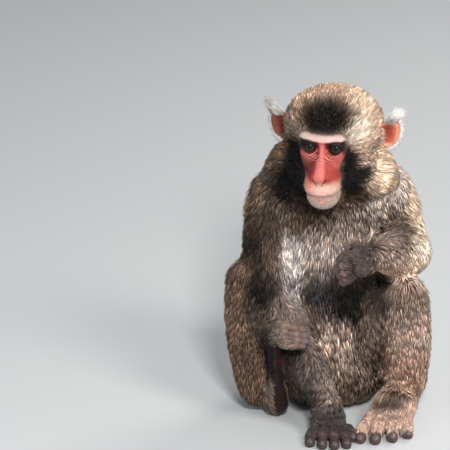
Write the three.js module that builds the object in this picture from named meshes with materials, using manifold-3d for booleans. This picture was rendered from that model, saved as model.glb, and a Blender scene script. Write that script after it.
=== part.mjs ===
// A Japanese macaque sitting upright, life size, as a still museum model.
// Millimetres, +Z up. The macaque faces -Y, so its right side is at -X, and the origin is on the
// floor under the middle of its seat. Every solid is the outside of the coat, to the hair tips.
import * as THREE from "three";
import { mergeVertices } from "three/addons/utils/BufferGeometryUtils.js";
import Module from "manifold-3d";

const wasm = await Module();
wasm.setup();

const v = (x, y, z) => new THREE.Vector3(x, y, z);
const degrees = THREE.MathUtils.degToRad;

// ---- Driving dimensions ----

const JOINT_GAP = 0.4; // between two parts that are one body in life
const CREASE = 2.6; // between coats that only lie against each other
const TRUNK_CELL = 23; // size of the facets on each kind of part
const HEAD_CELL = 19;
const FACE_CELL = 7.6;

const EYE = { radius: 9.2, apart: 31, opening: 14.5, height: 10 };
const HEAD = { at: v(-9.5, -85, 351), turn: degrees(-15), nod: degrees(6) };

const ARM = {
  right: {
    shoulder: v(-68, 10, 246),
    elbow: v(-78, -56, 152),
    wrist: v(-2, -98, 34),
    hand: v(-1, -124, 14),
    bulk: 1,
  },
  left: {
    shoulder: v(68, 26, 258),
    elbow: v(97, -16, 194),
    wrist: v(55, -108, 228),
    hand: v(31, -131, 224),
    bulk: 1.06,
  },
};
const LEG = {
  right: {
    hip: v(-46, 4, 62),
    knee: v(-100, -38, 170),
    shin: v(-99, -42, 100),
    ankle: v(-84, -42, 28),
    heel: v(-59, -58, 11),
    ball: v(-65, -100, 122),
  },
  left: {
    hip: v(46, 2, 62),
    knee: v(93, -70, 161),
    shin: v(98, -60, 98),
    ankle: v(93, -44, 34),
    heel: v(87, -33, 12.5),
    ball: v(67, -102, 12),
  },
};

// ---- Distance fields: each returns a function of a point, negative inside ----

// An egg with its own half sizes along x, y and z.
function egg(centre, radii) {
  return (p) => {
    const x = (p.x - centre.x) / radii.x;
    const y = (p.y - centre.y) / radii.y;
    const z = (p.z - centre.z) / radii.z;
    const reach = Math.hypot(x, y, z);
    const slope = Math.hypot(x / radii.x, y / radii.y, z / radii.z);
    return slope > 0 ? (reach * (reach - 1)) / slope : -radii.x;
  };
}

// A rod with round ends that tapers from one radius to the other.
function rod(from, to, fromRadius, toRadius) {
  const axis = to.clone().sub(from);
  const q = v(0, 0, 0);
  return (p) => {
    const along = q.subVectors(p, from).dot(axis) / axis.lengthSq();
    const t = THREE.MathUtils.clamp(along, 0, 1);
    return q.addScaledVector(axis, -t).length() - THREE.MathUtils.lerp(fromRadius, toRadius, t);
  };
}

// Joins fields, with a fillet of about the given size where they meet.
function blend(fillet, ...fields) {
  return (p) =>
    fields
      .map((field) => field(p))
      .reduce((a, b) => {
        const h = Math.max(fillet - Math.abs(a - b), 0) / fillet;
        return Math.min(a, b) - (h * h * fillet) / 4;
      });
}

// Takes a soft dent out of a field.
function dent(fillet, field, tool) {
  const joined = blend(fillet, (p) => -field(p), tool);
  return (p) => -joined(p);
}

// The same shape on both sides of the middle plane x = 0.
const mirrored = (field) => (p) => field(v(Math.abs(p.x), p.y, p.z));

function slopeOf(field, p) {
  const step = 0.2;
  const along = (axis) =>
    field(p.clone().addScaledVector(axis, step)) - field(p.clone().addScaledVector(axis, -step));
  return v(along(v(1, 0, 0)), along(v(0, 1, 0)), along(v(0, 0, 1))).normalize();
}

// ---- Surfaces ----

// The surface of a field inside a box, by surface nets: one vertex for each grid cell that the
// surface crosses, moved onto the surface, and one quad for each grid edge that crosses it.
function surfaceOf(field, low, high, cell) {
  const size = v(0, 0, 0).subVectors(high, low).divideScalar(cell).ceil().addScalar(1);
  const cornerAt = (i, j, k) => v(low.x + i * cell, low.y + j * cell, low.z + k * cell);
  const number = (i, j, k) => (k * size.y + j) * size.x + i;
  const last = size.clone().subScalar(1);
  const values = new Float32Array(size.x * size.y * size.z);
  for (let k = 0; k < size.z; k++)
    for (let j = 0; j < size.y; j++)
      for (let i = 0; i < size.x; i++) {
        const edge = i === 0 || j === 0 || k === 0 || i === last.x || j === last.y || k === last.z;
        const value = field(cornerAt(i, j, k));
        values[number(i, j, k)] = edge ? Math.max(value, cell / 2) : value;
      }

  const steps = [v(1, 0, 0), v(0, 1, 0), v(0, 0, 1)];
  const positions = [];
  const vertexOf = new Map();
  function vertexIn(i, j, k) {
    const cellNumber = number(i, j, k);
    if (vertexOf.has(cellNumber)) return vertexOf.get(cellNumber);
    const sum = v(0, 0, 0);
    let crossings = 0;
    for (let c = 0; c < 8; c++) {
      const from = [i + (c & 1), j + ((c >> 1) & 1), k + ((c >> 2) & 1)];
      steps.forEach((step, s) => {
        if ((c >> s) & 1) return;
        const to = [from[0] + step.x, from[1] + step.y, from[2] + step.z];
        const a = values[number(...from)];
        const b = values[number(...to)];
        if (a < 0 === b < 0) return;
        sum.add(cornerAt(...from).lerp(cornerAt(...to), a / (a - b)));
        crossings++;
      });
    }
    const p = sum.divideScalar(crossings);
    for (let pull = 0; pull < 3; pull++) p.addScaledVector(slopeOf(field, p), -field(p) * 0.9);
    p.clamp(low, high);
    positions.push(p.x, p.y, p.z);
    vertexOf.set(cellNumber, positions.length / 3 - 1);
    return positions.length / 3 - 1;
  }

  const vertexAt = (n) => v(...positions.slice(3 * n, 3 * n + 3));
  const faces = [];
  for (let k = 0; k < last.z; k++)
    for (let j = 0; j < last.y; j++)
      for (let i = 0; i < last.x; i++)
        steps.forEach((step, s) => {
          const inside = values[number(i, j, k)] < 0;
          if (inside === values[number(i + step.x, j + step.y, k + step.z)] < 0) return;
          const across = steps[(s + 1) % 3];
          const up = steps[(s + 2) % 3];
          const ring = [0, 1, 2, 3].map((n) => {
            const a = n === 0 || n === 3 ? 1 : 0;
            const b = n < 2 ? 1 : 0;
            return vertexIn(
              i - a * across.x - b * up.x,
              j - a * across.y - b * up.y,
              k - a * across.z - b * up.z,
            );
          });
          if (!inside) ring.reverse();
          // The quad is split along the diagonal that lies closer to the surface.
          const away = (a, b) => Math.abs(field(vertexAt(ring[a]).lerp(vertexAt(ring[b]), 0.5)));
          if (away(1, 3) < away(0, 2)) ring.push(ring.shift());
          faces.push(ring[0], ring[1], ring[2], ring[0], ring[2], ring[3]);
        });
  const geometry = new THREE.BufferGeometry();
  geometry.setAttribute("position", new THREE.Float32BufferAttribute(positions, 3));
  geometry.setIndex(faces);
  return geometry;
}

// A closed tube through stations { at, wide, deep }, with round ends that stand past the first
// and last station. "facing" is the side of the tube that its depth is measured along.
function tubeOf(stations, { sides = 12, rings = 12, facing = v(0, -1, 0), grow = 0 } = {}) {
  const path = new THREE.CatmullRomCurve3(stations.map((s) => s.at), false, "centripetal");
  const length = path.getLength();
  const first = stations[0];
  const final = stations[stations.length - 1];
  const endRadius = (s) => (s.wide + s.deep) / 2 + grow;
  const caps = [endRadius(first), endRadius(final)].map((r) => (r * Math.PI) / 2);
  const outline = caps[0] + length + caps[1];
  const section = (t) => {
    const place = t * (stations.length - 1);
    const n = Math.min(Math.floor(place), stations.length - 2);
    const soft = THREE.MathUtils.smoothstep(place - n, 0, 1);
    return ["wide", "deep"].map(
      (key) => THREE.MathUtils.lerp(stations[n][key], stations[n + 1][key], soft) + grow,
    );
  };

  const geometry = new THREE.SphereGeometry(1, sides, rings);
  const position = geometry.getAttribute("position");
  for (let i = 0; i < position.count; i++) {
    const unit = v(0, 0, 0).fromBufferAttribute(position, i);
    const around = Math.atan2(unit.z, unit.x);
    const run = (Math.acos(THREE.MathUtils.clamp(unit.y, -1, 1)) / Math.PI) * outline;
    let along = run - caps[0];
    let scale = 1;
    if (along < 0) {
      const angle = run / endRadius(first);
      along = -endRadius(first) * Math.cos(angle);
      scale = Math.sin(angle);
    } else if (along > length) {
      const angle = (outline - run) / endRadius(final);
      along = length + endRadius(final) * Math.cos(angle);
      scale = Math.sin(angle);
    }
    const t = THREE.MathUtils.clamp(along / length, 0, 1);
    const ahead = path.getTangentAt(t);
    const side = v(0, 0, 0).crossVectors(ahead, facing).normalize();
    const front = v(0, 0, 0).crossVectors(side, ahead);
    const [wide, deep] = section(path.getUtoTmapping(t));
    const p = path.getPointAt(t).addScaledVector(ahead, along - t * length);
    p.addScaledVector(side, Math.cos(around) * wide * scale);
    p.addScaledVector(front, Math.sin(around) * deep * scale);
    position.setXYZ(i, p.x, p.y, p.z);
  }
  return geometry;
}

// ---- Solids ----

function solidOf(geometry) {
  const bare = geometry.clone();
  bare.deleteAttribute("normal");
  bare.deleteAttribute("uv");
  const merged = mergeVertices(bare, 1e-3);
  const made = new wasm.Manifold(
    new wasm.Mesh({
      numProp: 3,
      vertProperties: merged.getAttribute("position").array,
      triVerts: new Uint32Array(merged.index.array),
    }),
  );
  if (made.volume() > 0) return made;
  const turned = merged.index.array.slice().reverse();
  return new wasm.Manifold(
    new wasm.Mesh({
      numProp: 3,
      vertProperties: merged.getAttribute("position").array,
      triVerts: new Uint32Array(turned),
    }),
  );
}

// A field's surface as a solid, and the same solid grown by each gap that its neighbours keep.
function fromField(field, low, high, cell) {
  const geometry = surfaceOf(field, low, high, cell);
  const grownBy = (gap) => {
    const grown = geometry.clone();
    const position = grown.getAttribute("position");
    for (let i = 0; i < position.count; i++) {
      const p = v(0, 0, 0).fromBufferAttribute(position, i);
      p.addScaledVector(slopeOf(field, p), gap);
      position.setXYZ(i, p.x, p.y, p.z);
    }
    return solidOf(grown);
  };
  return { solid: solidOf(geometry), grownBy };
}

function fromStations(stations, options) {
  return {
    solid: solidOf(tubeOf(stations, options)),
    grownBy: (gap) => solidOf(tubeOf(stations, { ...options, grow: gap })),
  };
}

function ellipsoid(centre, radii, turn = new THREE.Euler(), sides = 16, rings = 12) {
  const grownBy = (gap) => {
    const geometry = new THREE.SphereGeometry(1, sides, rings);
    geometry.scale(radii.x + gap, radii.y + gap, radii.z + gap);
    geometry.applyMatrix4(
      new THREE.Matrix4().makeRotationFromEuler(turn).setPosition(centre.x, centre.y, centre.z),
    );
    return solidOf(geometry);
  };
  return { solid: grownBy(0), grownBy };
}

// A great block that holds everything past a plane, for cutting.
function beyond(point, normal, gap = JOINT_GAP / 2) {
  const half = 600;
  const geometry = new THREE.BoxGeometry(2 * half, 2 * half, 2 * half);
  geometry.translate(0, 0, half - gap);
  const turn = new THREE.Quaternion().setFromUnitVectors(v(0, 0, 1), normal.clone().normalize());
  geometry.applyMatrix4(new THREE.Matrix4().makeRotationFromQuaternion(turn));
  geometry.translate(point.x, point.y, point.z);
  return solidOf(geometry);
}

const belowFloor = beyond(v(0, 0, 0), v(0, 0, -1), 0);

// The plane that parts two bones at a joint: it halves the angle between them.
function halfway(from, joint, to) {
  const before = joint.clone().sub(from).normalize();
  const after = to.clone().sub(joint).normalize();
  const along = before.add(after).normalize();
  return { after: beyond(joint, along), before: beyond(joint, along.clone().negate()) };
}

// The largest piece of a solid, without the crumbs that a cut leaves.
function wholePiece(solid) {
  return solid.decompose().reduce((a, b) => (b.volume() > a.volume() ? b : a));
}

const macaque = new THREE.Group();
const coat = {
  mantle: material(0x8d7c68, 0.9),
  brown: material(0x6d5a47, 0.9),
  pale: material(0x9a8b7c, 0.9),
  white: material(0xe6dfd2, 0.85),
};
const bareSkin = material(0xc8655c, 0.6);
const dullSkin = material(0x6b4d48, 0.65);
const nailHorn = material(0x4a4447, 0.35);
const eyeBrown = material(0x4a2c10, 0.08);

function material(color, roughness) {
  return new THREE.MeshStandardMaterial({ color, roughness, metalness: 0 });
}

function addPart(name, solid, finish, parent = macaque) {
  const mesh = wholePiece(solid).getMesh();
  const geometry = new THREE.BufferGeometry();
  geometry.setAttribute("position", new THREE.BufferAttribute(mesh.vertProperties, 3));
  geometry.setIndex(new THREE.BufferAttribute(mesh.triVerts, 1));
  const part = new THREE.Mesh(geometry, finish);
  part.name = name;
  parent.add(part);
}

// ---- Trunk and neck ----

const CAPE = { at: v(0, -12, 284), radii: v(90, 48, 58) };
const NECK = { low: v(4, 4, 262), high: v(-4, -32, 324), lowRadius: 62, highRadius: 56 };
const neckCut = { at: v(-2, -22, 287), up: v(-0.05, -0.36, 0.93) };
const waistCut = { at: v(4, 0, 150), up: v(0, -0.12, 1) };

function makeTrunk() {
  const hips = egg(v(0, 14, 54), v(84, 66, 62));
  const belly = egg(v(3, 2, 118), v(72, 62, 74));
  const chest = egg(v(6, 10, 194), v(80, 66, 76));
  const shoulders = egg(v(3, 20, 250), v(86, 56, 50));
  const rightShoulder = egg(v(-64, 10, 246), v(36, 38, 42));
  const leftShoulder = egg(v(68, 20, 250), v(38, 38, 42));
  const neck = rod(NECK.low, NECK.high, NECK.lowRadius, NECK.highRadius);
  const lap = egg(v(4, -14, 40), v(64, 52, 44));
  const cape = egg(CAPE.at, CAPE.radii);
  const lower = blend(30, hips, belly, lap, chest);
  const field = blend(30, lower, shoulders, rightShoulder, leftShoulder, neck, cape);
  return fromField(field, v(-130, -90, -30), v(140, 110, 400), TRUNK_CELL);
}

// ---- Head, in its own frame: the origin is midway between the eyeballs ----

const headGroup = new THREE.Group();
headGroup.position.copy(HEAD.at);
headGroup.rotation.set(HEAD.nod, 0, HEAD.turn, "ZXY");
headGroup.updateMatrix();
macaque.add(headGroup);
const toHead = headGroup.matrix.clone().invert();
const inHead = (solid) => solid.transform(toHead.elements.slice());

function makeCranium() {
  const crown = egg(v(0, 54, 10), v(61, 58, 43.5));
  const ruff = mirrored(egg(v(36, 46, -42), v(43, 36, 39)));
  const whiskers = mirrored(egg(v(40, 32, -24), v(22, 20, 32)));
  const throat = egg(v(0, 40, -54), v(46, 40, 38));
  const low = NECK.low.clone().applyMatrix4(toHead);
  const high = NECK.high.clone().applyMatrix4(toHead);
  const neck = rod(low, high, NECK.lowRadius, NECK.highRadius - 4);
  const cape = egg(CAPE.at.clone().applyMatrix4(toHead), CAPE.radii);
  const field = blend(14, crown, ruff, whiskers, throat, neck, cape);
  return fromField(field, v(-92, -34, -150), v(92, 142, 74), HEAD_CELL);
}

function makeFace() {
  const brow = rod(v(-22, -4, 15), v(22, -4, 15), 7.2, 7.2);
  const forehead = egg(v(0, 12, 10), v(30, 22, 15));
  const orbits = mirrored(egg(v(15.5, 1.5, -1), v(13, 11, 12.5)));
  const cheekbones = mirrored(egg(v(16.5, 4, -15), v(12, 13, 16)));
  const bridge = rod(v(0, -4.5, 6), v(0, -17, -25), 5.5, 9);
  const nose = egg(v(0, -19.5, -30), v(10.5, 9, 8.5));
  const muzzle = egg(v(0, -4, -42), v(23, 25, 22));
  const lips = egg(v(0, -8, -53), v(21.5, 22, 11));
  const chin = egg(v(0, -3.5, -64), v(18.5, 19.5, 14));
  const back = egg(v(0, 12, -26), v(27, 20, 44));
  const mask = blend(7, forehead, back, orbits, cheekbones, muzzle, lips, chin, nose);
  const ridged = blend(5, mask, brow, bridge);
  const innerCorner = mirrored(egg(v(7.5, -10, -1), v(4.5, 5, 7)));
  const underEye = mirrored(egg(v(17, -13, -14), v(9, 5, 5)));
  const field = dent(5, dent(5, ridged, innerCorner), underEye);
  const mould = fromField(field, v(-38, -44, -84), v(38, 40, 38), FACE_CELL);
  const withoutBack = (solid, gap) => solid.subtract(beyond(v(0, 13, 0), v(0, 1, 0), -gap));
  return {
    solid: withoutBack(mould.solid, 0),
    grownBy: (gap) => withoutBack(mould.grownBy(gap), gap),
  };
}

// One eyeball, and the almond opening between its lids.
function makeEye(side) {
  const half = v(EYE.radius, EYE.radius, EYE.radius);
  return ellipsoid(v((side * EYE.apart) / 2, 0, 0), half, new THREE.Euler(), 10, 7);
}

function lidOpening(side) {
  const centre = v((side * EYE.apart) / 2, -9, -0.5);
  const half = v(EYE.opening / 2, 9, EYE.height / 2);
  return ellipsoid(centre, half, new THREE.Euler(0, side * degrees(4), 0), 12, 8).solid;
}

// The groove between the lips, and a slit for each nostril.
function mouthLine() {
  const corner = v(19.5, -8.5, -52);
  const middle = v(10, -26.5, -53.5);
  return solidOf(
    tubeOf(
      [
        { at: v(-corner.x, corner.y, corner.z), wide: 0.8, deep: 2.5 },
        { at: v(-middle.x, middle.y, middle.z), wide: 1, deep: 2.5 },
        { at: v(0, -31.5, -54), wide: 1, deep: 2.5 },
        { at: middle, wide: 1, deep: 2.5 },
        { at: corner, wide: 0.8, deep: 2.5 },
      ],
      { sides: 6, rings: 10, facing: v(0, 0.01, 1) },
    ),
  );
}

function nostril(side) {
  const slit = v(1.5, 3.2, 3.6);
  return ellipsoid(v(side * 5, -27.5, -33), slit, new THREE.Euler(0.4, side * -0.7, 0), 8, 6).solid;
}

// A cupped oval ear that stands out from the side of the head, with a tuft of hair on its tip.
function makeEar(side) {
  const turn = new THREE.Euler(degrees(6), side * degrees(10), side * degrees(32), "ZXY");
  const shell = ellipsoid(v(side * 65, 55, 0), v(13.5, 5, 20), turn, 10, 7);
  const bowl = ellipsoid(v(side * 65.5, 50, -1), v(9.5, 5.5, 15.5), turn, 8, 6);
  return { solid: shell.solid.subtract(bowl.solid), grownBy: shell.grownBy };
}

function makeEarTuft(side) {
  const stations = [
    { at: v(side * 64, 55, 17), wide: 6, deep: 5 },
    { at: v(side * 71, 54, 25), wide: 5, deep: 4 },
    { at: v(side * 80, 54, 33), wide: 1.6, deep: 1.6 },
  ];
  return fromStations(stations, { sides: 6, rings: 5 });
}

// ---- Limbs ----

// Stations along a bone: each width and depth is { at, wide, deep } at equal steps.
function alongBone(from, to, sizes) {
  return sizes.map(([wide, deep], n) => ({
    at: from.clone().lerp(to, n / (sizes.length - 1)),
    wide,
    deep,
  }));
}

function makeUpperArm({ shoulder, elbow }) {
  const sizes = [[34, 34], [35, 32], [32, 30], [28, 28]];
  return fromStations(alongBone(shoulder, elbow, sizes), { sides: 10, rings: 9 });
}

function makeForearm({ elbow, wrist, bulk }) {
  const sizes = [[29, 29], [30, 29], [27, 26], [22, 19]].map((pair) => pair.map((r) => r * bulk));
  return fromStations(alongBone(elbow, wrist, sizes), { sides: 10, rings: 9 });
}

function makeThigh({ hip, knee }) {
  const sizes = [[46, 46], [44, 44], [36, 36], [28, 28]];
  return fromStations(alongBone(hip, knee, sizes), { sides: 10, rings: 9 });
}

function makeShin({ knee, shin, ankle }) {
  const stations = [
    { at: knee, wide: 28, deep: 28 },
    { at: shin, wide: 27, deep: 28 },
    { at: ankle, wide: 28, deep: 25 },
  ];
  return fromStations(stations, { sides: 10, rings: 9 });
}

// A finger or toe through its joints, thinner to its tip, with a nail on its back.
function makeDigit(joints, radius, back) {
  const last = joints.length - 1;
  const stations = joints.map((at, n) => {
    const size = radius * (1 - (0.22 * n) / last);
    return { at, wide: size, deep: size * 0.94 };
  });
  const digit = fromStations(stations, { sides: 6, rings: 5, facing: back });
  const ahead = joints[last].clone().sub(joints[last - 1]).normalize();
  const side = v(0, 0, 0).crossVectors(ahead, back).normalize();
  const up = v(0, 0, 0).crossVectors(side, ahead);
  const turn = new THREE.Euler().setFromRotationMatrix(new THREE.Matrix4().makeBasis(side, ahead, up));
  const seat = joints[last].clone().addScaledVector(up, radius * 0.68);
  seat.addScaledVector(ahead, radius * 0.4);
  const nail = ellipsoid(seat, v(radius * 0.62, radius * 0.98, 1.3), turn, 6, 3);
  return { digit: digit.solid.subtract(nail.grownBy(JOINT_GAP)), nail: nail.solid };
}

// The palm or sole with its digits: a flat tube from wrist or heel to the knuckles.
function makePaw(sole, facing, digits) {
  let solid = fromStations(sole, { sides: 8, rings: 7, facing }).solid;
  const nails = [];
  digits.forEach(({ joints, radius, back }) => {
    const made = makeDigit(joints, radius, back ?? facing);
    solid = solid.add(made.digit);
    nails.push(made.nail);
  });
  nails.forEach((nail) => {
    solid = solid.subtract(nail);
  });
  return { solid, nails };
}

// Joints of a digit: it starts at the knuckle and takes each step in turn.
function jointsFrom(knuckle, ...steps) {
  const joints = [knuckle.clone()];
  steps.forEach((step) => joints.push(joints[joints.length - 1].clone().add(step)));
  return joints;
}

// The right hand stands on the floor with its fingers flat, pointing forward.
function makeRightHand({ wrist, hand }) {
  const sole = [
    { at: wrist, wide: 15, deep: 13 },
    { at: wrist.clone().lerp(hand, 0.55), wide: 20, deep: 11 },
    { at: hand, wide: 24, deep: 9 },
  ];
  const digits = [-20, -7.5, 5, 17.5].map((across, n) => {
    const knuckle = hand.clone().add(v(across, -2, -3 - Math.abs(n - 1.5)));
    const reach = [23, 30, 32, 28][n];
    const joints = jointsFrom(
      knuckle,
      v(across * 0.08, -reach * 0.45, -2.5),
      v(across * 0.05, -reach * 0.4, -3.2),
      v(across * 0.02, -reach * 0.15, -0.8),
    );
    joints.forEach((joint) => (joint.z = Math.max(joint.z, 3)));
    return { joints, radius: 4.9 };
  });
  const thumb = jointsFrom(hand.clone().add(v(20, 8, -3)), v(6, -9, -5), v(1, -10, -3));
  thumb.forEach((joint) => (joint.z = Math.max(joint.z, 3.2)));
  digits.push({ joints: thumb, radius: 5 });
  return makePaw(sole, v(0, -0.5, 1), digits);
}

// The left hand hangs loosely closed in front of the chest, thumb side up.
function makeLeftHand({ wrist, hand }) {
  const sole = [
    { at: wrist, wide: 13, deep: 12 },
    { at: wrist.clone().lerp(hand, 0.55), wide: 18, deep: 10 },
    { at: hand, wide: 19, deep: 9 },
  ];
  const down = v(0.12, 0.22, -0.97).normalize();
  const digits = [-14.5, -4.8, 4.8, 14.5].map((across, n) => {
    const reach = [1, 1.08, 1.04, 0.9][n];
    const knuckle = hand.clone().addScaledVector(down, across).add(v(-3, 0, 0));
    const joints = jointsFrom(
      knuckle,
      v(-12, 1, -7).multiplyScalar(reach),
      v(-4, 10, -7).multiplyScalar(reach),
      v(5, 9, -2).multiplyScalar(reach),
    );
    return { joints, radius: 4.8 };
  });
  const thumb = jointsFrom(hand.clone().add(v(8, 7, 13)), v(-10, 7, 1), v(-9, 5, -4));
  digits.push({ joints: thumb, radius: 5, back: v(-0.3, -0.2, 1) });
  return makePaw(sole, v(-0.25, -1, 0.15), digits);
}

// The right foot stands on its heel, and its toes reach round the front of the right forearm.
function makeRightFoot({ heel, ball }) {
  const sole = [
    { at: heel, wide: 12, deep: 13 },
    { at: heel.clone().lerp(ball, 0.5), wide: 14, deep: 11 },
    { at: ball, wide: 17, deep: 10 },
  ];
  const row = v(0, 0.86, 0.5);
  const digits = [12.6, 4.2, -4.2, -12.6].map((across, n) => {
    const reach = [1, 1.1, 1.05, 0.9][n];
    const knuckle = ball.clone().addScaledVector(row, across).add(v(2, -4, 3));
    if (across > 0) knuckle.add(v(-2, -across * 0.5, across * 0.2));
    const joints = jointsFrom(
      knuckle,
      v(10, -9 - across * 0.25, 2).multiplyScalar(reach),
      v(12, -1 - across * 0.1, -1).multiplyScalar(reach),
      v(8, 4, -3).multiplyScalar(reach),
    );
    return { joints, radius: 4.7, back: v(0.1, -1, 0.5) };
  });
  const bigToe = jointsFrom(heel.clone().add(v(1, -11, 34)), v(5, 4, 11), v(4, 5, 12));
  digits.push({ joints: bigToe, radius: 5.5, back: v(0.4, 0.9, -0.3) });
  return makePaw(sole, v(-1, 0.05, 0.1), digits);
}

// The left foot stands flat, with its toes spread.
function makeLeftFoot({ heel, ball }) {
  const sole = [
    { at: heel, wide: 15, deep: 14 },
    { at: heel.clone().lerp(ball, 0.5).add(v(3, 0, 8)), wide: 25, deep: 17 },
    { at: ball, wide: 32, deep: 11 },
  ];
  const digits = [-24, -9, 8, 24].map((across, n) => {
    const reach = [1.05, 1.15, 1.05, 0.9][n];
    const knuckle = ball.clone().add(v(across, -5 + Math.max(across, 0) * 0.4, -2));
    const joints = jointsFrom(
      knuckle,
      v(across * 0.1 - 1, -13, 0).multiplyScalar(reach),
      v(across * 0.06 - 1, -11, -3).multiplyScalar(reach),
      v(across * 0.02 - 0.5, -6, -2).multiplyScalar(reach),
    );
    joints.forEach((joint) => (joint.z = Math.max(joint.z, 3.6)));
    return { joints, radius: 5.5 };
  });
  const bigToe = jointsFrom(heel.clone().lerp(ball, 0.5).add(v(-16, 0, 0)), v(-8, -8, -2), v(-5, -9, -4));
  bigToe.forEach((joint) => (joint.z = Math.max(joint.z, 4.6)));
  digits.push({ joints: bigToe, radius: 6 });
  return makePaw(sole, v(0, -0.2, 1), digits);
}

// A short furry tail that rests behind the seat.
function makeTail() {
  const stations = [
    { at: v(2, 62, 44), wide: 18, deep: 17 },
    { at: v(3, 88, 24), wide: 15, deep: 14 },
    { at: v(4, 112, 10), wide: 11, deep: 10.5 },
  ];
  return fromStations(stations, { sides: 10, rings: 9, facing: v(0, 0, 1) });
}

// ---- Assembly: each part is cut back by the parts that are made before it ----

const trunk = makeTrunk();
const standing = trunk.solid.subtract(belowFloor);
const neckUp = standing.subtract(beyond(v(0, -5, 262), v(0.04, 0.42, -0.9)));
addPart("neck", neckUp.subtract(beyond(neckCut.at, neckCut.up)), coat.mantle);
const body = standing.subtract(beyond(v(0, -5, 262), v(-0.04, -0.42, 0.9)));
addPart("chest", body.subtract(beyond(waistCut.at, waistCut.up.clone().negate())), coat.mantle);
addPart("hips", body.subtract(beyond(waistCut.at, waistCut.up)), coat.brown);

const cranium = makeCranium();
const face = makeFace();
const belowNeck = inHead(beyond(neckCut.at, neckCut.up.clone().negate()));
let skull = cranium.solid.subtract(belowNeck).subtract(face.grownBy(2.5 * JOINT_GAP));
let bareFace = face.solid.subtract(mouthLine());
for (const side of [-1, 1]) {
  const eye = makeEye(side);
  const name = side < 0 ? "right" : "left";
  addPart("eye_" + name, eye.solid, eyeBrown, headGroup);
  bareFace = bareFace.subtract(eye.grownBy(JOINT_GAP)).subtract(lidOpening(side)).subtract(nostril(side));
  skull = skull.subtract(eye.grownBy(JOINT_GAP));
  const skullGrown = cranium.grownBy(JOINT_GAP);
  const tuft = makeEarTuft(side);
  const ear = makeEar(side);
  addPart("ear_" + name, ear.solid.subtract(skullGrown), bareSkin, headGroup);
  const freeTuft = tuft.solid.subtract(skullGrown).subtract(ear.grownBy(JOINT_GAP));
  addPart("ear_tuft_" + name, freeTuft, coat.white, headGroup);
}
addPart("head", skull, coat.mantle, headGroup);
addPart("face", bareFace, bareSkin, headGroup);

const trunkGrown = trunk.grownBy(JOINT_GAP);
addPart("tail", makeTail().solid.subtract(trunkGrown).subtract(belowFloor), coat.brown);

const limbs = {};
for (const side of ["right", "left"]) {
  const upperArm = makeUpperArm(ARM[side]);
  const forearm = makeForearm(ARM[side]);
  const thigh = makeThigh(LEG[side]);
  const shin = makeShin(LEG[side]);
  limbs[side] = { upperArm, forearm, thigh, shin };
}

const headSolidInWorld = cranium.grownBy(CREASE).transform(headGroup.matrix.elements.slice());
for (const side of ["right", "left"]) {
  const { upperArm, forearm, thigh, shin } = limbs[side];
  const elbow = halfway(ARM[side].shoulder, ARM[side].elbow, ARM[side].wrist);
  const knee = halfway(LEG[side].hip, LEG[side].knee, LEG[side].shin);
  const hand = side === "right" ? makeRightHand(ARM.right) : makeLeftHand(ARM.left);
  const foot = side === "right" ? makeRightFoot(LEG.right) : makeLeftFoot(LEG.left);
  const trunkApart = trunk.grownBy(CREASE);

  const upper = upperArm.solid.subtract(elbow.after).subtract(trunkGrown);
  addPart("upper_arm_" + side, upper.subtract(headSolidInWorld), coat.mantle);
  addPart("forearm_" + side, forearm.solid.subtract(elbow.before).subtract(trunkApart), coat.brown);
  const forearmGrown = forearm.grownBy(JOINT_GAP);
  const armApart = forearm.grownBy(CREASE).add(upperArm.grownBy(CREASE));
  addPart("hand_" + side, hand.solid.subtract(forearmGrown).subtract(trunkApart).subtract(belowFloor), dullSkin);

  const upperLeg = thigh.solid.subtract(knee.after).subtract(trunkGrown).subtract(armApart);
  addPart("thigh_" + side, upperLeg.subtract(belowFloor), coat.brown);
  const lowerLeg = shin.solid.subtract(knee.before).subtract(trunkApart).subtract(armApart);
  addPart("shin_" + side, lowerLeg.subtract(belowFloor), coat.brown);
  const legGrown = shin.grownBy(JOINT_GAP).add(thigh.grownBy(JOINT_GAP));
  const bareFoot = foot.solid.subtract(legGrown).subtract(trunkApart).subtract(belowFloor);
  addPart("foot_" + side, bareFoot.subtract(forearmGrown), dullSkin);

  const digitNames = ["second", "third", "fourth", "fifth", "first"];
  hand.nails.forEach((nail, n) => addPart(`fingernail_${side}_${digitNames[n]}`, nail, nailHorn));
  foot.nails.forEach((nail, n) => addPart(`toenail_${side}_${digitNames[n]}`, nail, nailHorn));
}

export default macaque;
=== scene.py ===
import bmesh
import bpy
import math
import numpy as np
from mathutils import Matrix, Vector, noise
from mathutils.bvhtree import BVHTree
from mathutils.kdtree import KDTree


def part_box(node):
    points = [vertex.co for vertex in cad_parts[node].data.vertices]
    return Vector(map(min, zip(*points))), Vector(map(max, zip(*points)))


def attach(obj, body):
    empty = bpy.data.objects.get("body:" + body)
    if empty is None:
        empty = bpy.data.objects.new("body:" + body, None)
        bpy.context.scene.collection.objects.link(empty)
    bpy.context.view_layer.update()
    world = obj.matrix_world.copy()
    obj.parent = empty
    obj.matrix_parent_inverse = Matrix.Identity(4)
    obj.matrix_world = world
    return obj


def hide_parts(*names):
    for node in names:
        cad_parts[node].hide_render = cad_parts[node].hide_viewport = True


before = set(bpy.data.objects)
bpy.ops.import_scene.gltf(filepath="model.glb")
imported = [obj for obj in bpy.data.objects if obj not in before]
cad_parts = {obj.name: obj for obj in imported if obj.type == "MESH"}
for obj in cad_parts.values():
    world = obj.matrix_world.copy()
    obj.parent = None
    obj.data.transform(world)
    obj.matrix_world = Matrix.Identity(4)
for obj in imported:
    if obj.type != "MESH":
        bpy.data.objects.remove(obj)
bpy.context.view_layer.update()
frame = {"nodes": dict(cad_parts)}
nodes = frame["nodes"]
random = np.random.default_rng(7)
print("frame loaded:", len(nodes), "nodes")


def middle(name):  # centre of a node's box
    low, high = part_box(name)
    return np.array((low + high) / 2)


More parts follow.
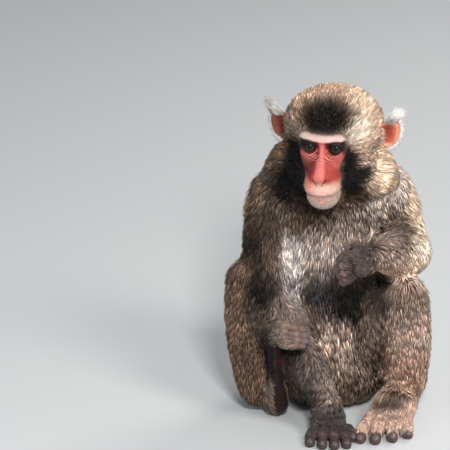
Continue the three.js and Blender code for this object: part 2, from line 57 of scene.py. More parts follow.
def unit(vectors):
    vectors = np.asarray(vectors, float)
    return vectors / np.maximum(np.linalg.norm(vectors, axis=-1, keepdims=True), 1e-12)


def ramp(low, high, value):  # 0 below low, 1 above high, smooth between (low may be the larger)
    t = np.clip((value - low) / (high - low), 0, 1)
    return t * t * (3 - 2 * t)


def bump(value, centre, width):  # 1 at the centre, fading to 0 one width away
    return np.exp(-((value - centre) / width) ** 2)


def tone(red, green, blue):  # a colour as seen on screen, made linear
    c = np.array([red, green, blue]) / 255
    return np.where(c <= 0.04045, c / 12.92, ((c + 0.055) / 1.055) ** 2.4)


def mixed(a, b, amount):
    amount = np.asarray(amount)[..., None]
    return a * (1 - amount) + b * amount


def cloudy(points, size, seed=0):  # soft noise from -1 to 1, with features of about that size
    shift = Vector((seed * 13.1, seed * 7.7, seed * 3.3))
    return np.array([noise.noise(Vector(p) / size + shift) for p in points])


def link(obj):
    bpy.context.scene.collection.objects.link(obj)
    return obj


def newPiece(name, mesh, finish, slot, *replaced):
    mesh.materials.append(finish)
    piece = link(bpy.data.objects.new(name, mesh))
    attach(piece, "root")
    if replaced:
        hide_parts(*replaced)
    return piece


def smoothMesh(name, bm):
    for face in bm.faces:
        face.smooth = True
    mesh = bpy.data.meshes.new(name)
    bm.to_mesh(mesh)
    bm.free()
    return mesh


def rows(items, what, wide, kind=float):  # one property of many items, a row for each
    values = np.empty(len(items) * wide, kind)
    items.foreach_get(what, values)
    return values.reshape(-1, wide)


def meshArrays(mesh):
    normals = rows(mesh.vertices, "normal", 3)
    return rows(mesh.vertices, "co", 3), rows(mesh.edges, "vertices", 2, np.int64), normals


def setPoints(mesh, points):
    mesh.vertices.foreach_set("co", points.ravel())
    mesh.update()


def relax(values, edges, times, amount=0.5):  # evens values out over a mesh
    values = np.array(values, float)
    flat = values.reshape(len(values), -1)
    a, b = edges.T
    degree = np.bincount(edges.ravel(), minlength=len(flat)).astype(float)
    degree[degree == 0] = 1
    amount = np.asarray(amount, float).reshape(-1, 1)
    for _ in range(times):
        near = np.stack([
            np.bincount(a, flat[b, k], len(flat)) + np.bincount(b, flat[a, k], len(flat))
            for k in range(flat.shape[1])
        ], 1) / degree[:, None]
        flat = flat + amount * (near - flat)
    return flat.reshape(values.shape)


# the head's own frame: millimetres from midway between the eyes
headLay = {"nod": 6, "eyeRadius": 9.2, "eyeApart": 15.5, "lidThick": 1.3}  # degrees, and mm from the middle
eyeRight, eyeLeft = middle("eye_right"), middle("eye_left")
headAt = (eyeRight + eyeLeft) / 2
across = unit(eyeLeft - eyeRight)
level = unit(np.cross([0, 0, 1], across))  # level, towards the back of the head
turn = Matrix.Rotation(math.radians(headLay["nod"]), 3, Vector(across))
back = np.array(turn @ Vector(level))
upward = np.cross(across, back)
headAxes = np.stack([across, back, upward])


def toHead(points):
    return (np.asarray(points) - headAt) @ headAxes.T * 1000


def fromHead(points):
    return np.asarray(points) / 1000 @ headAxes + headAt


def bothSides(p):  # the left side's place for a point of either side
    return np.abs(p * [1, 0, 0]) + p * [0, 1, 1]


def slopeOf(field, p, step):
    return np.stack([field(p + s) - field(p - s) for s in step * np.eye(3)], 1) / (2 * step)


# distance fields, in millimetres and negative inside: an egg, a tapered rod, and ways to join them
def egg(p, centre, radii):
    q = (p - np.array(centre)) / np.array(radii)
    reach = np.linalg.norm(q, axis=1)
    slope = np.linalg.norm(q / np.array(radii), axis=1)
    return reach * (reach - 1) / np.maximum(slope, 1e-9)


def rod(p, start, end, startRadius, endRadius):
    start, axis = np.array(start, float), np.array(end, float) - np.array(start, float)
    t = np.clip((p - start) @ axis / (axis @ axis), 0, 1)
    away = np.linalg.norm(p - start - t[:, None] * axis, axis=1)
    return away - startRadius - (endRadius - startRadius) * t


def join(fillet, *fields):
    made = fields[0]
    for field in fields[1:]:
        h = np.maximum(fillet - np.abs(made - field), 0) / fillet
        made = np.minimum(made, field) - h * h * fillet / 4
    return made


def cut(fillet, field, tool):
    return -join(fillet, -field, tool)


nostrilLay = ((7.9, -24.2, -30.8), (3.4, -27.5, -37.8), 0.5, 0.8)  # outer top, inner foot, radii


def headField(p):
    m = bothSides(p)
    apart = headLay["eyeApart"]
    crown = egg(p, (0, 53, 8), (53, 51, 37.5))
    jaw = egg(m, (24, 38, -36), (24, 34, 30))
    throat = egg(p, (0, 40, -50), (34, 34, 26))
    nape = rod(p, (0, 60, -30), (8, 74, -90), 42, 50)
    skull = join(14, crown, jaw, throat, nape)
    forehead = egg(p, (0, 13, 10), (30, 22, 14))
    orbit = egg(m, (apart, 1.5, -1), (13, 11, 12.5))
    cheekbone = egg(m, (16, 3, -15), (11.5, 13, 16))
    muzzle = egg(p, (0, -3.5, -42), (21.6, 24, 21.5))
    upperLip = egg(p, (0, -6.5, -47.5), (20, 22.8, 8.5))
    lowerLip = egg(p, (0, -4.5, -57.5), (18.4, 21, 8))
    chin = egg(p, (0, -3, -64), (17, 18.5, 12.5))
    inner = egg(p, (0, 12, -26), (25, 20, 44))
    noseSide = egg(m, (8.5, -8, -23), (8, 9.5, 13))
    mask = join(7, forehead, inner, orbit, cheekbone, muzzle, upperLip, noseSide)
    mask = join(3.5, mask, join(7, lowerLip, chin))
    brow = rod(m, (0, -4.0, 14.0), (25, 3.5, 13.0), 6.4, 4.0)
    bridge = rod(p, (0, -4.5, 6), (0, -15, -26), 4.8, 8.2)
    nose = egg(p, (0, -17.6, -31), (9.4, 8.8, 8.2))
    wing = egg(m, (7.8, -19, -32), (4.4, 6.8, 5.4))
    face = join(8, mask, brow)
    face = join(4.5, face, bridge, nose)
    face = join(2.8, face, wing)
    face = cut(5, face, egg(m, (7.6, -11, -1), (4.2, 5, 7)))
    face = cut(5, face, egg(m, (17.5, -14.6, -14), (8.5, 5, 4.5)))
    lids = egg(m, (apart, 0, 0), (10.7, 10.4, 10.7))
    face = join(2.2, face, lids)
    face = cut(1.4, face, rod(m, *nostrilLay))
    lipLine = np.abs(p[:, 2] + 52.0 - 0.004 * p[:, 0] ** 2) - 0.6
    face = cut(1.8, face, np.maximum(lipLine, -(mask + 1.9 * ramp(22, 15, np.abs(p[:, 0])))))
    return join(9, skull, face)


earLay = {  # place in the head and size in mm, turns in degrees
    "at": np.array([65, 55, 0]), "lean": 6, "roll": 10, "turn": 32,
    "grow": [0.12, 0.1, 0.2], "drop": 2.5, "radii": (11.2, 17.6), "foldRadii": (6.8, 11.5),
}


def earAxes(side):
    turns = [(side * earLay["turn"], "Z"), (earLay["lean"], "X"), (side * earLay["roll"], "Y")]
    made = Matrix.Identity(3)
    for angle, axis in turns:
        made = made @ Matrix.Rotation(math.radians(angle), 3, axis)
    return np.array(made)


def earRelief(q, side):  # how far the front of the ear stands out from a plain dish, in mm
    x, z = q[:, 0] * side, q[:, 2]
    rim = np.hypot(x / earLay["radii"][0], z / earLay["radii"][1])
    fold = np.hypot((x - 1) / earLay["foldRadii"][0], (z - 1) / earLay["foldRadii"][1])
    relief = 2.0 * bump(rim, 1, 0.15) + 1.5 * bump(fold, 1, 0.2) * ramp(-4, 1, x)
    relief += 1.8 * np.exp(-((x + 8) / 2.4) ** 2 - ((z + 5) / 3.6) ** 2)
    return relief - 2.4 * np.exp(-((x + 2.5) / 4.6) ** 2 - ((z + 2) / 7.5) ** 2)


far = 99.0  # mm, outside every field
digits = {  # joints of each finger and toe, mm, and how thick they are at the first and the last
    "hand_right": {"radii": (6.3, 5.3), "back": (0, -0.5, 1), "joints": [
        ((-21, -122, 10), (-22.6, -136.3, 8), (-23.6, -145.5, 5.2), (-24, -149, 4.8)),
        ((-8.5, -122, 11), (-9.1, -139.5, 9), (-9.5, -151.5, 5.6), (-9.6, -156, 5)),
        ((4, -122, 11), (4.4, -140.4, 9), (4.7, -153.2, 5.6), (4.8, -158, 5)),
        ((16.5, -122, 10), (17.9, -138.6, 8), (18.8, -149.8, 5.2), (19.1, -154, 4.8)),
        ((19, -112, 12), (25.5, -125, 7.5), (27, -134, 5.2)),
    ]},
    "hand_left": {"radii": (5.6, 4.9), "back": (-0.25, -1, 0.15), "thumbBack": (-0.3, -0.2, 1), "joints": [
        ((26.3, -134.2, 238), (14.3, -133.8, 232), (10.3, -123.2, 224.5), (15.3, -114.2, 222)),
        ((27.4, -132.1, 228.6), (14, -132, 222), (9.6, -120.2, 214), (15.5, -110.5, 211.4)),
        ((28.6, -129.9, 219.4), (15.6, -129.8, 212.4), (11.4, -118.5, 204.4), (17.1, -109.1, 202.4)),
        ((29.7, -127.8, 210), (18.4, -127.4, 203.2), (14.8, -117.9, 196.2), (19.8, -109.8, 194.6)),
        ((39, -124, 237), (29, -119, 240), (20, -114, 236)),
    ]},
    "foot_right": {"radii": (5.3, 4.8), "back": (0.1, -1, 0.5), "thumbBack": (0.4, 0.9, -0.3), "joints": [
        ((-65, -99.5, 134.5), (-55, -111.6, 137.5), (-43, -113.9, 136.5), (-35, -109.9, 133)),
        ((-65, -102.5, 127.9), (-54, -113.5, 130.4), (-40.8, -115.3, 129.2), (-32, -110.7, 125.7)),
        ((-63, -107.6, 122.4), (-52.5, -116.3, 124), (-39.9, -116.9, 122.6), (-31.5, -112.4, 119.4)),
        ((-63, -114.8, 117.7), (-54, -120.4, 118), (-43.2, -120.1, 116.6), (-36, -116.3, 114.2)),
        ((-58, -69, 45), (-53, -65, 56), (-49, -60, 68)),
    ]},
    "foot_left": {"radii": (7.2, 6.0), "back": (0, -0.2, 1), "joints": [
        ((43, -103, 11), (39.4, -120.6, 10.6), (36.9, -132.2, 7.6), (35.8, -138.5, 5.8)),
        ((58, -103, 11), (55.8, -121.9, 10.6), (54, -134.6, 7.4), (53.3, -141.5, 5.6)),
        ((75, -100, 11), (74.8, -117.4, 10.6), (74.2, -129, 7.6), (73.9, -135.3, 5.8)),
        ((91, -94, 11), (92.3, -109.1, 10.4), (92.7, -119, 7.8), (92.6, -124.4, 6)),
        ((61, -66, 13), (53, -75.5, 11), (47, -85.5, 7)),
    ]},
}


def digitField(p, joints, radii):  # distance outside a finger, and how far along it from its knuckle
    lengths = [np.linalg.norm(np.subtract(b, a)) for a, b in zip(joints, joints[1:])]
    sizes = np.interp(np.cumsum([0] + lengths) / sum(lengths), (0, 1), radii)
    field, start = None, 0
    along, nearest = np.zeros(len(p)), np.full(len(p), far)
    for k, (a, b) in enumerate(zip(joints, joints[1:])):
        bone = rod(p, a, b, sizes[k] * 0.96, sizes[k + 1] * 0.96)
        axis = np.subtract(b, a) / lengths[k]
        along = np.where(bone < nearest, start + np.clip((p - a) @ axis, 0, lengths[k]), along)
        nearest = np.minimum(nearest, bone)
        bone = join(2, bone, np.linalg.norm(p - b, axis=1) - sizes[k + 1] * 1.06)
        field = bone if field is None else join(1.5, field, bone)
        start += lengths[k]
    return field, along


def nearDigits(p):  # the paws' fingers and toes: distance outside the nearest, and mm from its knuckle
    best, along = np.full(len(p), far), np.zeros(len(p))
    for paw in digits.values():
        for joints in paw["joints"]:
            field, reach = digitField(p, joints, paw["radii"])
            along = np.where(field < best, reach, along)
            best = np.minimum(best, field)
    return best, along


def pulledOnto(field, p, times=5, most=3.0):  # moves points onto a field's surface
    p = p.copy()
    for _ in range(times):
        value = field(p)
        slope = slopeOf(field, p, 0.15)
        size = np.maximum((slope ** 2).sum(1), 0.25)
        p -= slope * np.clip(value / size, -most, most)[:, None]
    return p


lidLay = {"half": 8.0, "up": 0.7, "slant": 0.10, "upper": 5.8, "lower": 5.3}  # mm


def almond(p, side):  # distance outside the opening between the lids, in the face's plane
    x = p[:, 0] * side - headLay["eyeApart"]
    z = p[:, 2] - lidLay["up"] - lidLay["slant"] * x
    half = lidLay["half"]
    arch = np.sqrt(np.clip(1 - (x / half) ** 2, 0, 1))
    upper = lidLay["upper"] * arch ** 1.05
    lower = lidLay["lower"] * arch ** 1.2
    inside = np.where(z > 0, z - upper, -z - lower)
    return np.where(np.abs(x) < half, np.maximum(inside, np.abs(x) - half), np.hypot(np.abs(x) - half, z))


# the skin: every node of flesh as one surface, under the coat
skinLay = {
    "voxel": 0.0020,  # metres
    "keep": 0.36,  # share of the triangles kept where a long coat covers the skin
    "keepUnseen": 0.78,  # share of all triangles kept once the coat is laid
    "rounds": {  # of smoothing
        "parts": 5, "depth": 20, "outside": 60, "normals": 8, "inside": 14, "covered": 8,
    },
    "longCoat": ("chest", "hips", "neck", "upper_arm", "forearm", "thigh", "shin"),
    "headBack": 45,  # mm behind the eyes, where the head's long coat starts
    "underCoat": (70, 62, 62),  # tone
    "overlap": {"face": 0.8, "eye": 0.8, "other": 0.35},  # mm, so that the parts join
    "coat": {  # mm from the skin to the coat's outside
        "head": 8, "neck": 14, "chest": 13, "hips": 13, "tail": 8, "upper_arm": 10, "forearm": 8,
        "thigh": 12, "shin": 9, "hand": 0.5, "foot": 0.6, "ear": 0.3, "face": 1, "eye": 1,
    },
    "evening": {"hand": 0, "foot": 0, "ear": 0.05, "face": 0.5, "eye": 1, "other": 1},
}


def flesh(name):
    return not name.startswith(("fingernail", "toenail", "ear_tuft"))


def partOf(name):  # "upper_arm_left" is an upper_arm
    return name.replace("_left", "").replace("_right", "")


def joinedNodes(names):
    whole = bmesh.new()
    for name in names:
        bm = bmesh.new()
        bm.from_mesh(nodes[name].data)
        bmesh.ops.remove_doubles(bm, verts=bm.verts, dist=1e-6)
        bm.normal_update()
        by = skinLay["overlap"].get(partOf(name), skinLay["overlap"]["other"]) / 1000
        moves = [vert.normal * by for vert in bm.verts]
        for vert, move in zip(bm.verts, moves):
            vert.co += move
        for face in bm.faces:
            face.material_index = names.index(name)
        mesh = bpy.data.meshes.new("part")
        bm.to_mesh(mesh)
        bm.free()
        whole.from_mesh(mesh)
        bpy.data.meshes.remove(mesh)
    return whole


def applied(mesh, kind, group=None, **settings):  # a modifier's result as a new mesh
    obj = link(bpy.data.objects.new("work", mesh))
    modifier = obj.modifiers.new("work", kind)
    for key, value in settings.items():
        setattr(modifier, key, value)
    if group is not None:
        weights = obj.vertex_groups.new(name="where")
        for vert in np.flatnonzero(group > 0):
            weights.add([int(vert)], float(group[vert]), "REPLACE")
        modifier.vertex_group = "where"
    bpy.context.view_layer.update()
    made = bpy.data.meshes.new_from_object(obj.evaluated_get(bpy.context.evaluated_depsgraph_get()))
    bpy.data.objects.remove(obj)
    return made


def carried(oldPoints, newPoints):  # index of the old point nearest to each new one
    tree = KDTree(len(oldPoints))
    for index, point in enumerate(oldPoints):
        tree.insert(point, index)
    tree.balance()
    return np.array([tree.find(point)[1] for point in newPoints])


def byKind(values):  # for every point of the skin, the value for its kind of part
    return np.array([values.get(kind, values.get("other")) for kind in kinds], float)[partAt]


def byNode(values):
    return np.array([values.get(name, values["other"]) for name in fleshNames], float)[partAt]


fleshNames = sorted(name for name in nodes if flesh(name))
kinds = [partOf(name) for name in fleshNames]
whole = joinedNodes(fleshNames)
for paw, lay in digits.items():  # full ends for fingers and toes, where the nails leave hollows
    size = lay["radii"][1] / 1000
    for joints in lay["joints"]:
        before, tip = Vector(joints[-2]), Vector(joints[-1])
        for step in np.linspace(0, 1, 6):
            seat = Matrix.Translation(before.lerp(tip, step) / 1000)
            ball = bmesh.ops.create_icosphere(whole, subdivisions=2, radius=size, matrix=seat)
            for face in {face for vert in ball["verts"] for face in vert.link_faces}:
                face.material_index = fleshNames.index(paw)
surface = BVHTree.FromBMesh(whole)
surfacePart = [face.material_index for face in whole.faces]
rough = bpy.data.meshes.new("rough")
whole.to_mesh(rough)
whole.free()
skinMesh = applied(rough, "REMESH", mode="VOXEL", voxel_size=skinLay["voxel"])
points, edges, normals = meshArrays(skinMesh)
partAt = np.array([surfacePart[surface.find_nearest(Vector(point))[2]] for point in points])
print("skin remeshed:", len(points), "points")

rounds = skinLay["rounds"]
spare = byKind(skinLay["overlap"]) / 1000
evening = relax(byKind(skinLay["evening"]), edges, rounds["parts"])
depth = relax(byKind(skinLay["coat"]) / 1000, edges, rounds["depth"])
points = relax(points, edges, rounds["outside"], 0.5 * evening)
setPoints(skinMesh, points)
normals = unit(relax(meshArrays(skinMesh)[2], edges, rounds["normals"], evening))
points = relax(points - normals * (depth + spare)[:, None], edges, rounds["inside"], 0.5 * evening)
setPoints(skinMesh, points)
kindAt = np.array(kinds)[partAt]
covered = np.isin(kindAt, skinLay["longCoat"])
covered |= (kindAt == "head") & (toHead(points)[:, 1] > skinLay["headBack"])
covered = relax(covered.astype(float), edges, rounds["covered"]) > 0.97
ratio = 1 - covered.mean() * (1 - skinLay["keep"])
sparse = applied(skinMesh, "DECIMATE", group=covered.astype(float), ratio=ratio)
sparsePoints = meshArrays(sparse)[0]
kept = carried(points, sparsePoints)
partAt, depth = partAt[kept], depth[kept]
skinMesh = sparse
print("skin drawn in under the coat:", len(kept), "points")


def finer(bm, test):  # halves the edges whose both ends pass the test
    passing = test(np.array([vert.co for vert in bm.verts]))
    bm.verts.index_update()
    picked = [edge for edge in bm.edges if passing[edge.verts[0].index] and passing[edge.verts[1].index]]
    bmesh.ops.subdivide_edges(bm, edges=picked, cuts=1, use_grid_fill=True)
    bmesh.ops.triangulate(bm, faces=[face for face in bm.faces if len(face.verts) > 4])


def inBox(low, high):  # a test for places between two corners of the head's frame, on both sides
    def test(points):
        p = bothSides(toHead(points))
        return ((p > low) & (p < high)).all(1)
    return test


def roundEyes(points, reach=10):
    p = toHead(points)
    return (np.hypot(np.abs(p[:, 0]) - headLay["eyeApart"], p[:, 2]) < reach) & (p[:, 1] < 2)


def onDigits(points):
    return nearDigits(points * 1000)[0] < 4


onFace = inBox((-1, -999, -78), (31, 14, 27))
onMouth = inBox((-1, -999, -60), (23, -4, -26))
onEars = inBox((52, 35, -22), (999, 75, 22))
bm = bmesh.new()
bm.from_mesh(skinMesh)
for place in (onFace, roundEyes, onMouth, onEars, onDigits):  # where bare skin shows
    finer(bm, place)
bm.to_mesh(skinMesh)
bm.free()
points, edges, normals = meshArrays(skinMesh)
kept = carried(sparsePoints, points)
partAt, depth = partAt[kept], depth[kept]
kindAt = np.array(kinds)[partAt]

# the head takes the shape of its field, and passes into the neck
head = toHead(points)
onHead = np.isin(kindAt, ("head", "face", "eye", "neck")) * ramp(-78, -58, head[:, 2])
onHead = onHead * ramp(96, 70, head[:, 1] - head[:, 2])
weight = relax(onHead, edges, 3)[:, None]
for times in (16, 5, 4):
    chosen = weight[:, 0] > 0.001
    head = relax(head, edges, times, 0.5 * weight)
    target = pulledOnto(headField, head[chosen], 3)
    head[chosen] += (target - head[chosen]) * weight[chosen]
setPoints(skinMesh, fromHead(head))

# fingers and toes take the shape of their own fields
isPaw = np.isin(kindAt, ("hand", "foot"))
paws = fromHead(head) * 1000
away, alongDigit = nearDigits(paws)
hold = relax((isPaw & (away < 6)) * ramp(1, 9, alongDigit), edges, 3)[:, None]
for times in (8, 4, 2):
    paws = relax(paws, edges, times, 0.5 * hold)
    chosen = np.flatnonzero(hold[:, 0] > 0.01)
    target = pulledOnto(lambda spot: nearDigits(spot)[0], paws[chosen], 4, 2.5)
    paws[chosen] += (target - paws[chosen]) * hold[chosen]
away, alongDigit = nearDigits(paws)
alongDigit = np.where(isPaw & (away < 2), alongDigit, 0)
head = toHead(paws / 1000)
setPoints(skinMesh, fromHead(head))
facing = meshArrays(skinMesh)[2] @ headAxes.T
onEar = relax((kindAt == "ear").astype(float), edges, 2)[:, None]
head = relax(head, edges, 10, 0.45 * onEar)
for side in (-1, 1):
    axes, at = earAxes(side), earLay["at"] * [side, 1, 1]
    onSide = onEar * (head[:, :1] * side > 0)
    head += (((head - at) @ axes * earLay["grow"] + [0, 0, -earLay["drop"]]) @ axes.T) * onSide
    ear = relax(((kindAt == "ear") & (head[:, 0] * side > 0)).astype(float), edges, 4)
    local = (head - at) @ axes
    forward = facing @ axes @ [0, -1, 0]
    relief = relax(earRelief(local, side) * ear * ramp(0.1, 0.6, forward), edges, 1)
    head += np.outer(relief, axes @ [0, -1, 0])

# the lids: a crisp edge round each opening, rolled in over the eye
eyeSpots = np.full(len(head), far)  # mm outside the opening of the nearer eye
for side in (-1, 1):
    near = (head[:, 1] < 2) & (np.hypot(head[:, 0] * side - headLay["eyeApart"], head[:, 2]) < 12)
    spot = head[near]
    centre = np.array([headLay["eyeApart"] * side, 0, 0])
    reach = np.linalg.norm(spot - centre, axis=1)
    for _ in range(2):
        away = almond(spot, side)
        slope = slopeOf(lambda q: almond(q, side), spot, 0.1)
        snap = np.clip(1.6 - np.abs(away) / 0.3, 0, 1) * 0.9
        spot -= slope * (away * snap)[:, None]
    away = almond(spot, side)
    ray = unit(spot - centre)
    inward = ramp(0.05, -0.7, away)
    reach = reach * (1 - inward) + (headLay["eyeRadius"] - headLay["lidThick"]) * inward
    reach += 0.35 * bump(away, 0.8, 0.6) - 0.5 * bump(away, 3.1, 0.7) * ramp(0, 2, spot[:, 2])
    head[near] = centre + ray * reach[:, None]
    eyeSpots[near] = away

# folds: under the eyes, across the brow, from nose to lip, beside the mouth
x, y, z = head.T
wide = np.abs(x)
out, down = wide - 14.5, -(z + 1)
ring, angle = np.hypot(out, down * 1.15), np.arctan2(down, out)
folds = 0.46 * np.sin(ring * 2.6 + 0.6 * np.sin(angle * 3)) * bump(ring, 11.5, 4.4)
folds *= ramp(0.1, 0.7, angle) * ramp(3.0, 2.3, angle) * (1 + 0.6 * (x < 0))
folds += -0.5 * bump(wide - 0.12 * (z + 50), 19.5, 1.1) * ramp(-66, -56, z) * ramp(-38, -46, z)
folds += 0.18 * np.sin(z * 2.2 + 0.02 * x * x) * bump(z, 17, 6) * ramp(30, 20, wide)
folds += -0.35 * bump(x, 0, 0.8) * ramp(-50, -46, z) * ramp(-37, -41, z)
folds += -0.4 * bump(wide, 2.2, 0.9) * ramp(9, 14, z) * ramp(25, 20, z)
folds *= (y < 8) & (kindAt != "ear") & (np.abs(z) < 80) & (eyeSpots > 2.5)
setPoints(skinMesh, fromHead(head))
head += (meshArrays(skinMesh)[2] @ headAxes.T) * folds[:, None]
setPoints(skinMesh, fromHead(head))
points, edges, normals = meshArrays(skinMesh)
nodeAt = np.array(fleshNames)[partAt]
skin = link(bpy.data.objects.new("skin", skinMesh))
skinMesh.polygons.foreach_set("use_smooth", np.ones(len(skinMesh.polygons), bool))
print("head, fingers and toes shaped:", len(points), "points")


# markings: one set of tones for the coat and for the skin under it
# The -x limbs are set darker and the +x limbs paler: partly the coat's own tones, partly painted shade and
# painted light for the key lamp on the +x side.
nodeTones = {  # tips of the hair, as seen on screen
    "head": (160, 136, 114), "neck": (150, 130, 114), "chest": (150, 132, 118), "hips": (132, 114, 100),
    "tail": (140, 118, 98), "upper_arm_right": (84, 70, 60), "upper_arm_left": (206, 188, 170),
    "forearm_right": (70, 60, 55), "forearm_left": (138, 120, 110), "hand_right": (70, 62, 62),
    "hand_left": (82, 71, 67), "thigh_right": (74, 61, 52), "thigh_left": (126, 108, 98),
    "shin_right": (118, 95, 80), "shin_left": (150, 128, 114), "foot_right": (120, 106, 98),
    "foot_left": (184, 156, 143), "face": (150, 126, 110), "other": (200, 170, 150),
}
bodyMarks = {  # middle and reach in mm, tone, strength
    "back": ((0, 95, 190), (100, 60, 110), (166, 142, 116), 0.8),
    "rump": ((0, 95, 60), (70, 50, 50), (132, 114, 100), 0.8),
    # The mantle is paler on the +x side and darker on the -x side: partly its own tones, partly painted
    # light and painted shade.
    "mantleLeft": ((62, 5, 262), (62, 70, 56), (212, 196, 187), 1.0),
    "mantleLeftLow": ((74, -22, 226), (22, 40, 22), (112, 96, 86), 0.9),
    # pale golden tips along the mantle's +x edge, brightened by painted rim light
    "mantleLeftRim": ((104, 10, 228), (22, 50, 46), (232, 202, 172), 0.9),
    # painted shade over the darker brown of the mantle's -x side
    "mantleRight": ((-76, -10, 258), (34, 60, 26), (100, 86, 76), 0.9),
    "shoulderRight": ((-84, -30, 222), (26, 44, 22), (54, 43, 36), 0.95),
    # painted shade under the -x shoulder, where the arm meets the chest
    "shoulderRightLow": ((-84, -44, 194), (24, 40, 24), (28, 22, 18), 0.95),
    # golden tips along the mantle's -x edge, brightened by painted rim light
    "mantleRim": ((-104, 24, 236), (18, 40, 52), (168, 140, 112), 0.85),
    "throat": ((-14, -60, 256), (38, 40, 18), (40, 29, 25), 0.95),
    "throatLeft": ((24, -60, 256), (22, 40, 16), (88, 66, 55), 0.9),
    "chest": ((-10, -50, 234), (34, 36, 14), (98, 76, 61), 0.9),
    "chestLeft": ((24, -50, 226), (34, 40, 24), (200, 182, 172), 0.9),
    "chestMiddle": ((-20, -50, 206), (36, 40, 24), (222, 204, 197), 0.95),
    "chestWhite": ((-45, -40, 190), (18, 34, 32), (236, 228, 226), 1.0),
    "chestLow": ((-46, -40, 152), (16, 34, 22), (184, 174, 172), 0.95),
    "sideRight": ((-70, -40, 186), (12, 34, 40), (104, 88, 78), 0.8),
    "belly": ((4, -45, 152), (38, 46, 28), (58, 56, 61), 0.95),
    # painted shadow of the left forearm on the belly
    "bellyLeft": ((36, -45, 156), (34, 46, 24), (36, 31, 29), 0.95),
    "groin": ((6, -45, 90), (26, 40, 24), (222, 197, 184), 0.9),
    # painted shadow in the gap between the -x arm and the chest
    "armFold": ((-80, -62, 158), (19, 30, 17), (11, 9, 8), 1.0),
    "armLow": ((-88, -65, 128), (18, 30, 16), (110, 94, 83), 0.9),
    "kneeRight": ((-112, -46, 176), (24, 40, 20), (96, 78, 66), 0.9),
    "thighOutsideRight": ((-124, -20, 110), (22, 50, 60), (128, 105, 86), 0.8),
    # painted shadow of the left forearm on the knee
    "kneeLeft": ((70, -70, 146), (46, 40, 22), (58, 49, 46), 0.9),
    # painted shadow between the belly and the left thigh
    "thighInsideLeft": ((24, -44, 120), (22, 36, 19), (28, 23, 21), 0.95),
    "legMiddleLeft": ((56, -60, 98), (20, 40, 26), (116, 100, 92), 0.9),
    "legOutsideLeft": ((96, -60, 108), (24, 56, 44), (196, 170, 156), 0.95),
    "legLowLeft": ((88, -60, 62), (24, 56, 26), (182, 148, 131), 0.95),
    "legInsideLow": ((50, -40, 52), (22, 40, 24), (122, 107, 99), 0.9),
    "elbowLeft": ((84, -60, 192), (26, 44, 22), (222, 192, 174), 0.95),
    # pale tips along the left arm's outer edge, brightened by painted rim light
    "armRimLeft": ((108, -46, 204), (18, 60, 34), (252, 232, 212), 0.95),
    "wristRight": ((-24, -100, 72), (20, 34, 16), (98, 87, 81), 0.85),
    # painted shade on the underside of the right forearm
    "forearmDarkRight": ((-42, -93, 102), (16, 34, 18), (20, 17, 17), 0.95),
    "ankleLeft": ((90, -56, 38), (32, 40, 14), (196, 166, 146), 0.9),
    "footStreak": ((70, -86, 29), (26, 22, 11), (58, 45, 38), 0.95),
    "fingersLeft": ((12, -122, 212), (11, 18, 24), (66, 56, 53), 0.9),
    "wristLeft": ((50, -118, 236), (14, 18, 9), (80, 68, 64), 0.9),
    "mantleEdge": ((86, -66, 230), (15, 30, 12), (94, 80, 71), 0.9),
    # the jaw's own black patch, spread wider on the -x side as painted shade
    "jawRight": ((-47, -42, 274), (26, 34, 20), (13, 9, 8), 0.95),
    "mantleBand": ((80, -34, 225), (26, 30, 12), (86, 71, 61), 0.95),
    # painted shade on the fur beside the right foot's sole
    "soleSides": ((-66, -104, 84), (24, 26, 40), (27, 19, 17), 1.0),
}
headMarks = {  # the same in the head's own frame; the side is 0 for both
    "crown": (0, (0, 70, 40), (62, 50, 26), (222, 190, 156), 0.9),
    "crownMiddle": (0, (0, 40, 44), (36, 30, 18), (190, 160, 142), 0.95),
    # the crown's +x side paler, partly as painted light
    "crownLeft": (1, (38, 46, 38), (20, 34, 20), (222, 198, 176), 0.9),
    "goldSide": (1, (54, 48, 14), (15, 24, 20), (134, 110, 92), 0.95),
    "temple": (1, (36, 18, 16), (13, 22, 14), (208, 194, 181), 0.95),
    # the -x temple darker than the +x one: partly its own tone, partly painted shade
    "templeFar": (-1, (34, 13, 13), (8, 16, 8), (132, 116, 105), 0.95),
    "templeDark": (-1, (50, 36, 26), (6, 20, 12), (58, 46, 38), 0.8),
    "templeBack": (-1, (42, 30, 21), (7, 16, 13), (172, 148, 132), 0.9),
    "foreheadRim": (0, (0, 20, 33), (35, 26, 17), (74, 59, 48), 0.9),
    "foreheadWedge": (0, (-1, 10, 30), (28, 28, 18), (25, 19, 15), 1.0),
    "whiskers": (1, (58, 46, -26), (26, 42, 46), (224, 198, 176), 0.95),
    "whiskersTop": (1, (46, 46, -10), (15, 22, 11), (170, 153, 142), 0.9),
    # the -x whiskers darker: partly their own tone, partly painted shade
    "whiskersFar": (-1, (70, 46, -36), (20, 40, 40), (136, 112, 94), 0.85),
    "earFront": (0, (52, 40, 8), (8, 16, 20), (186, 162, 142), 0.7),
    "jaw": (1, (32, 22, -68), (18, 30, 18), (64, 47, 38), 0.9),
    # the jaw's black reaching wider on the -x side, partly as painted shade
    "jawFar": (-1, (42, 28, -70), (34, 44, 33), (13, 9, 8), 1.0),
    # the cheek's black reaching wider on the -x side, partly as painted shade
    "cheekFar": (-1, (36, 20, -26), (19, 30, 34), (17, 14, 14), 1.0),
    "cheek": (1, (31, 10, -24), (11, 22, 20), (17, 14, 14), 1.0),
    "cheekPoint": (1, (39, 20, -39), (11, 18, 10), (30, 24, 22), 1.0),
    "cheekLow": (1, (29, 12, -50), (11, 20, 17), (22, 17, 15), 1.0),
    "cheekEdge": (0, (26, 4, -22), (7, 15, 34), (15, 13, 13), 1.0),
    "underChin": (0, (0, 10, -84), (30, 34, 14), (80, 62, 52), 0.9),
}


def patch(p, centre, reach, soft=0.35):  # 1 inside an egg, fading to 0 outside
    away = np.linalg.norm((p - np.array(centre)) / np.array(reach), axis=1)
    return ramp(1 + soft, 1 - soft, away)


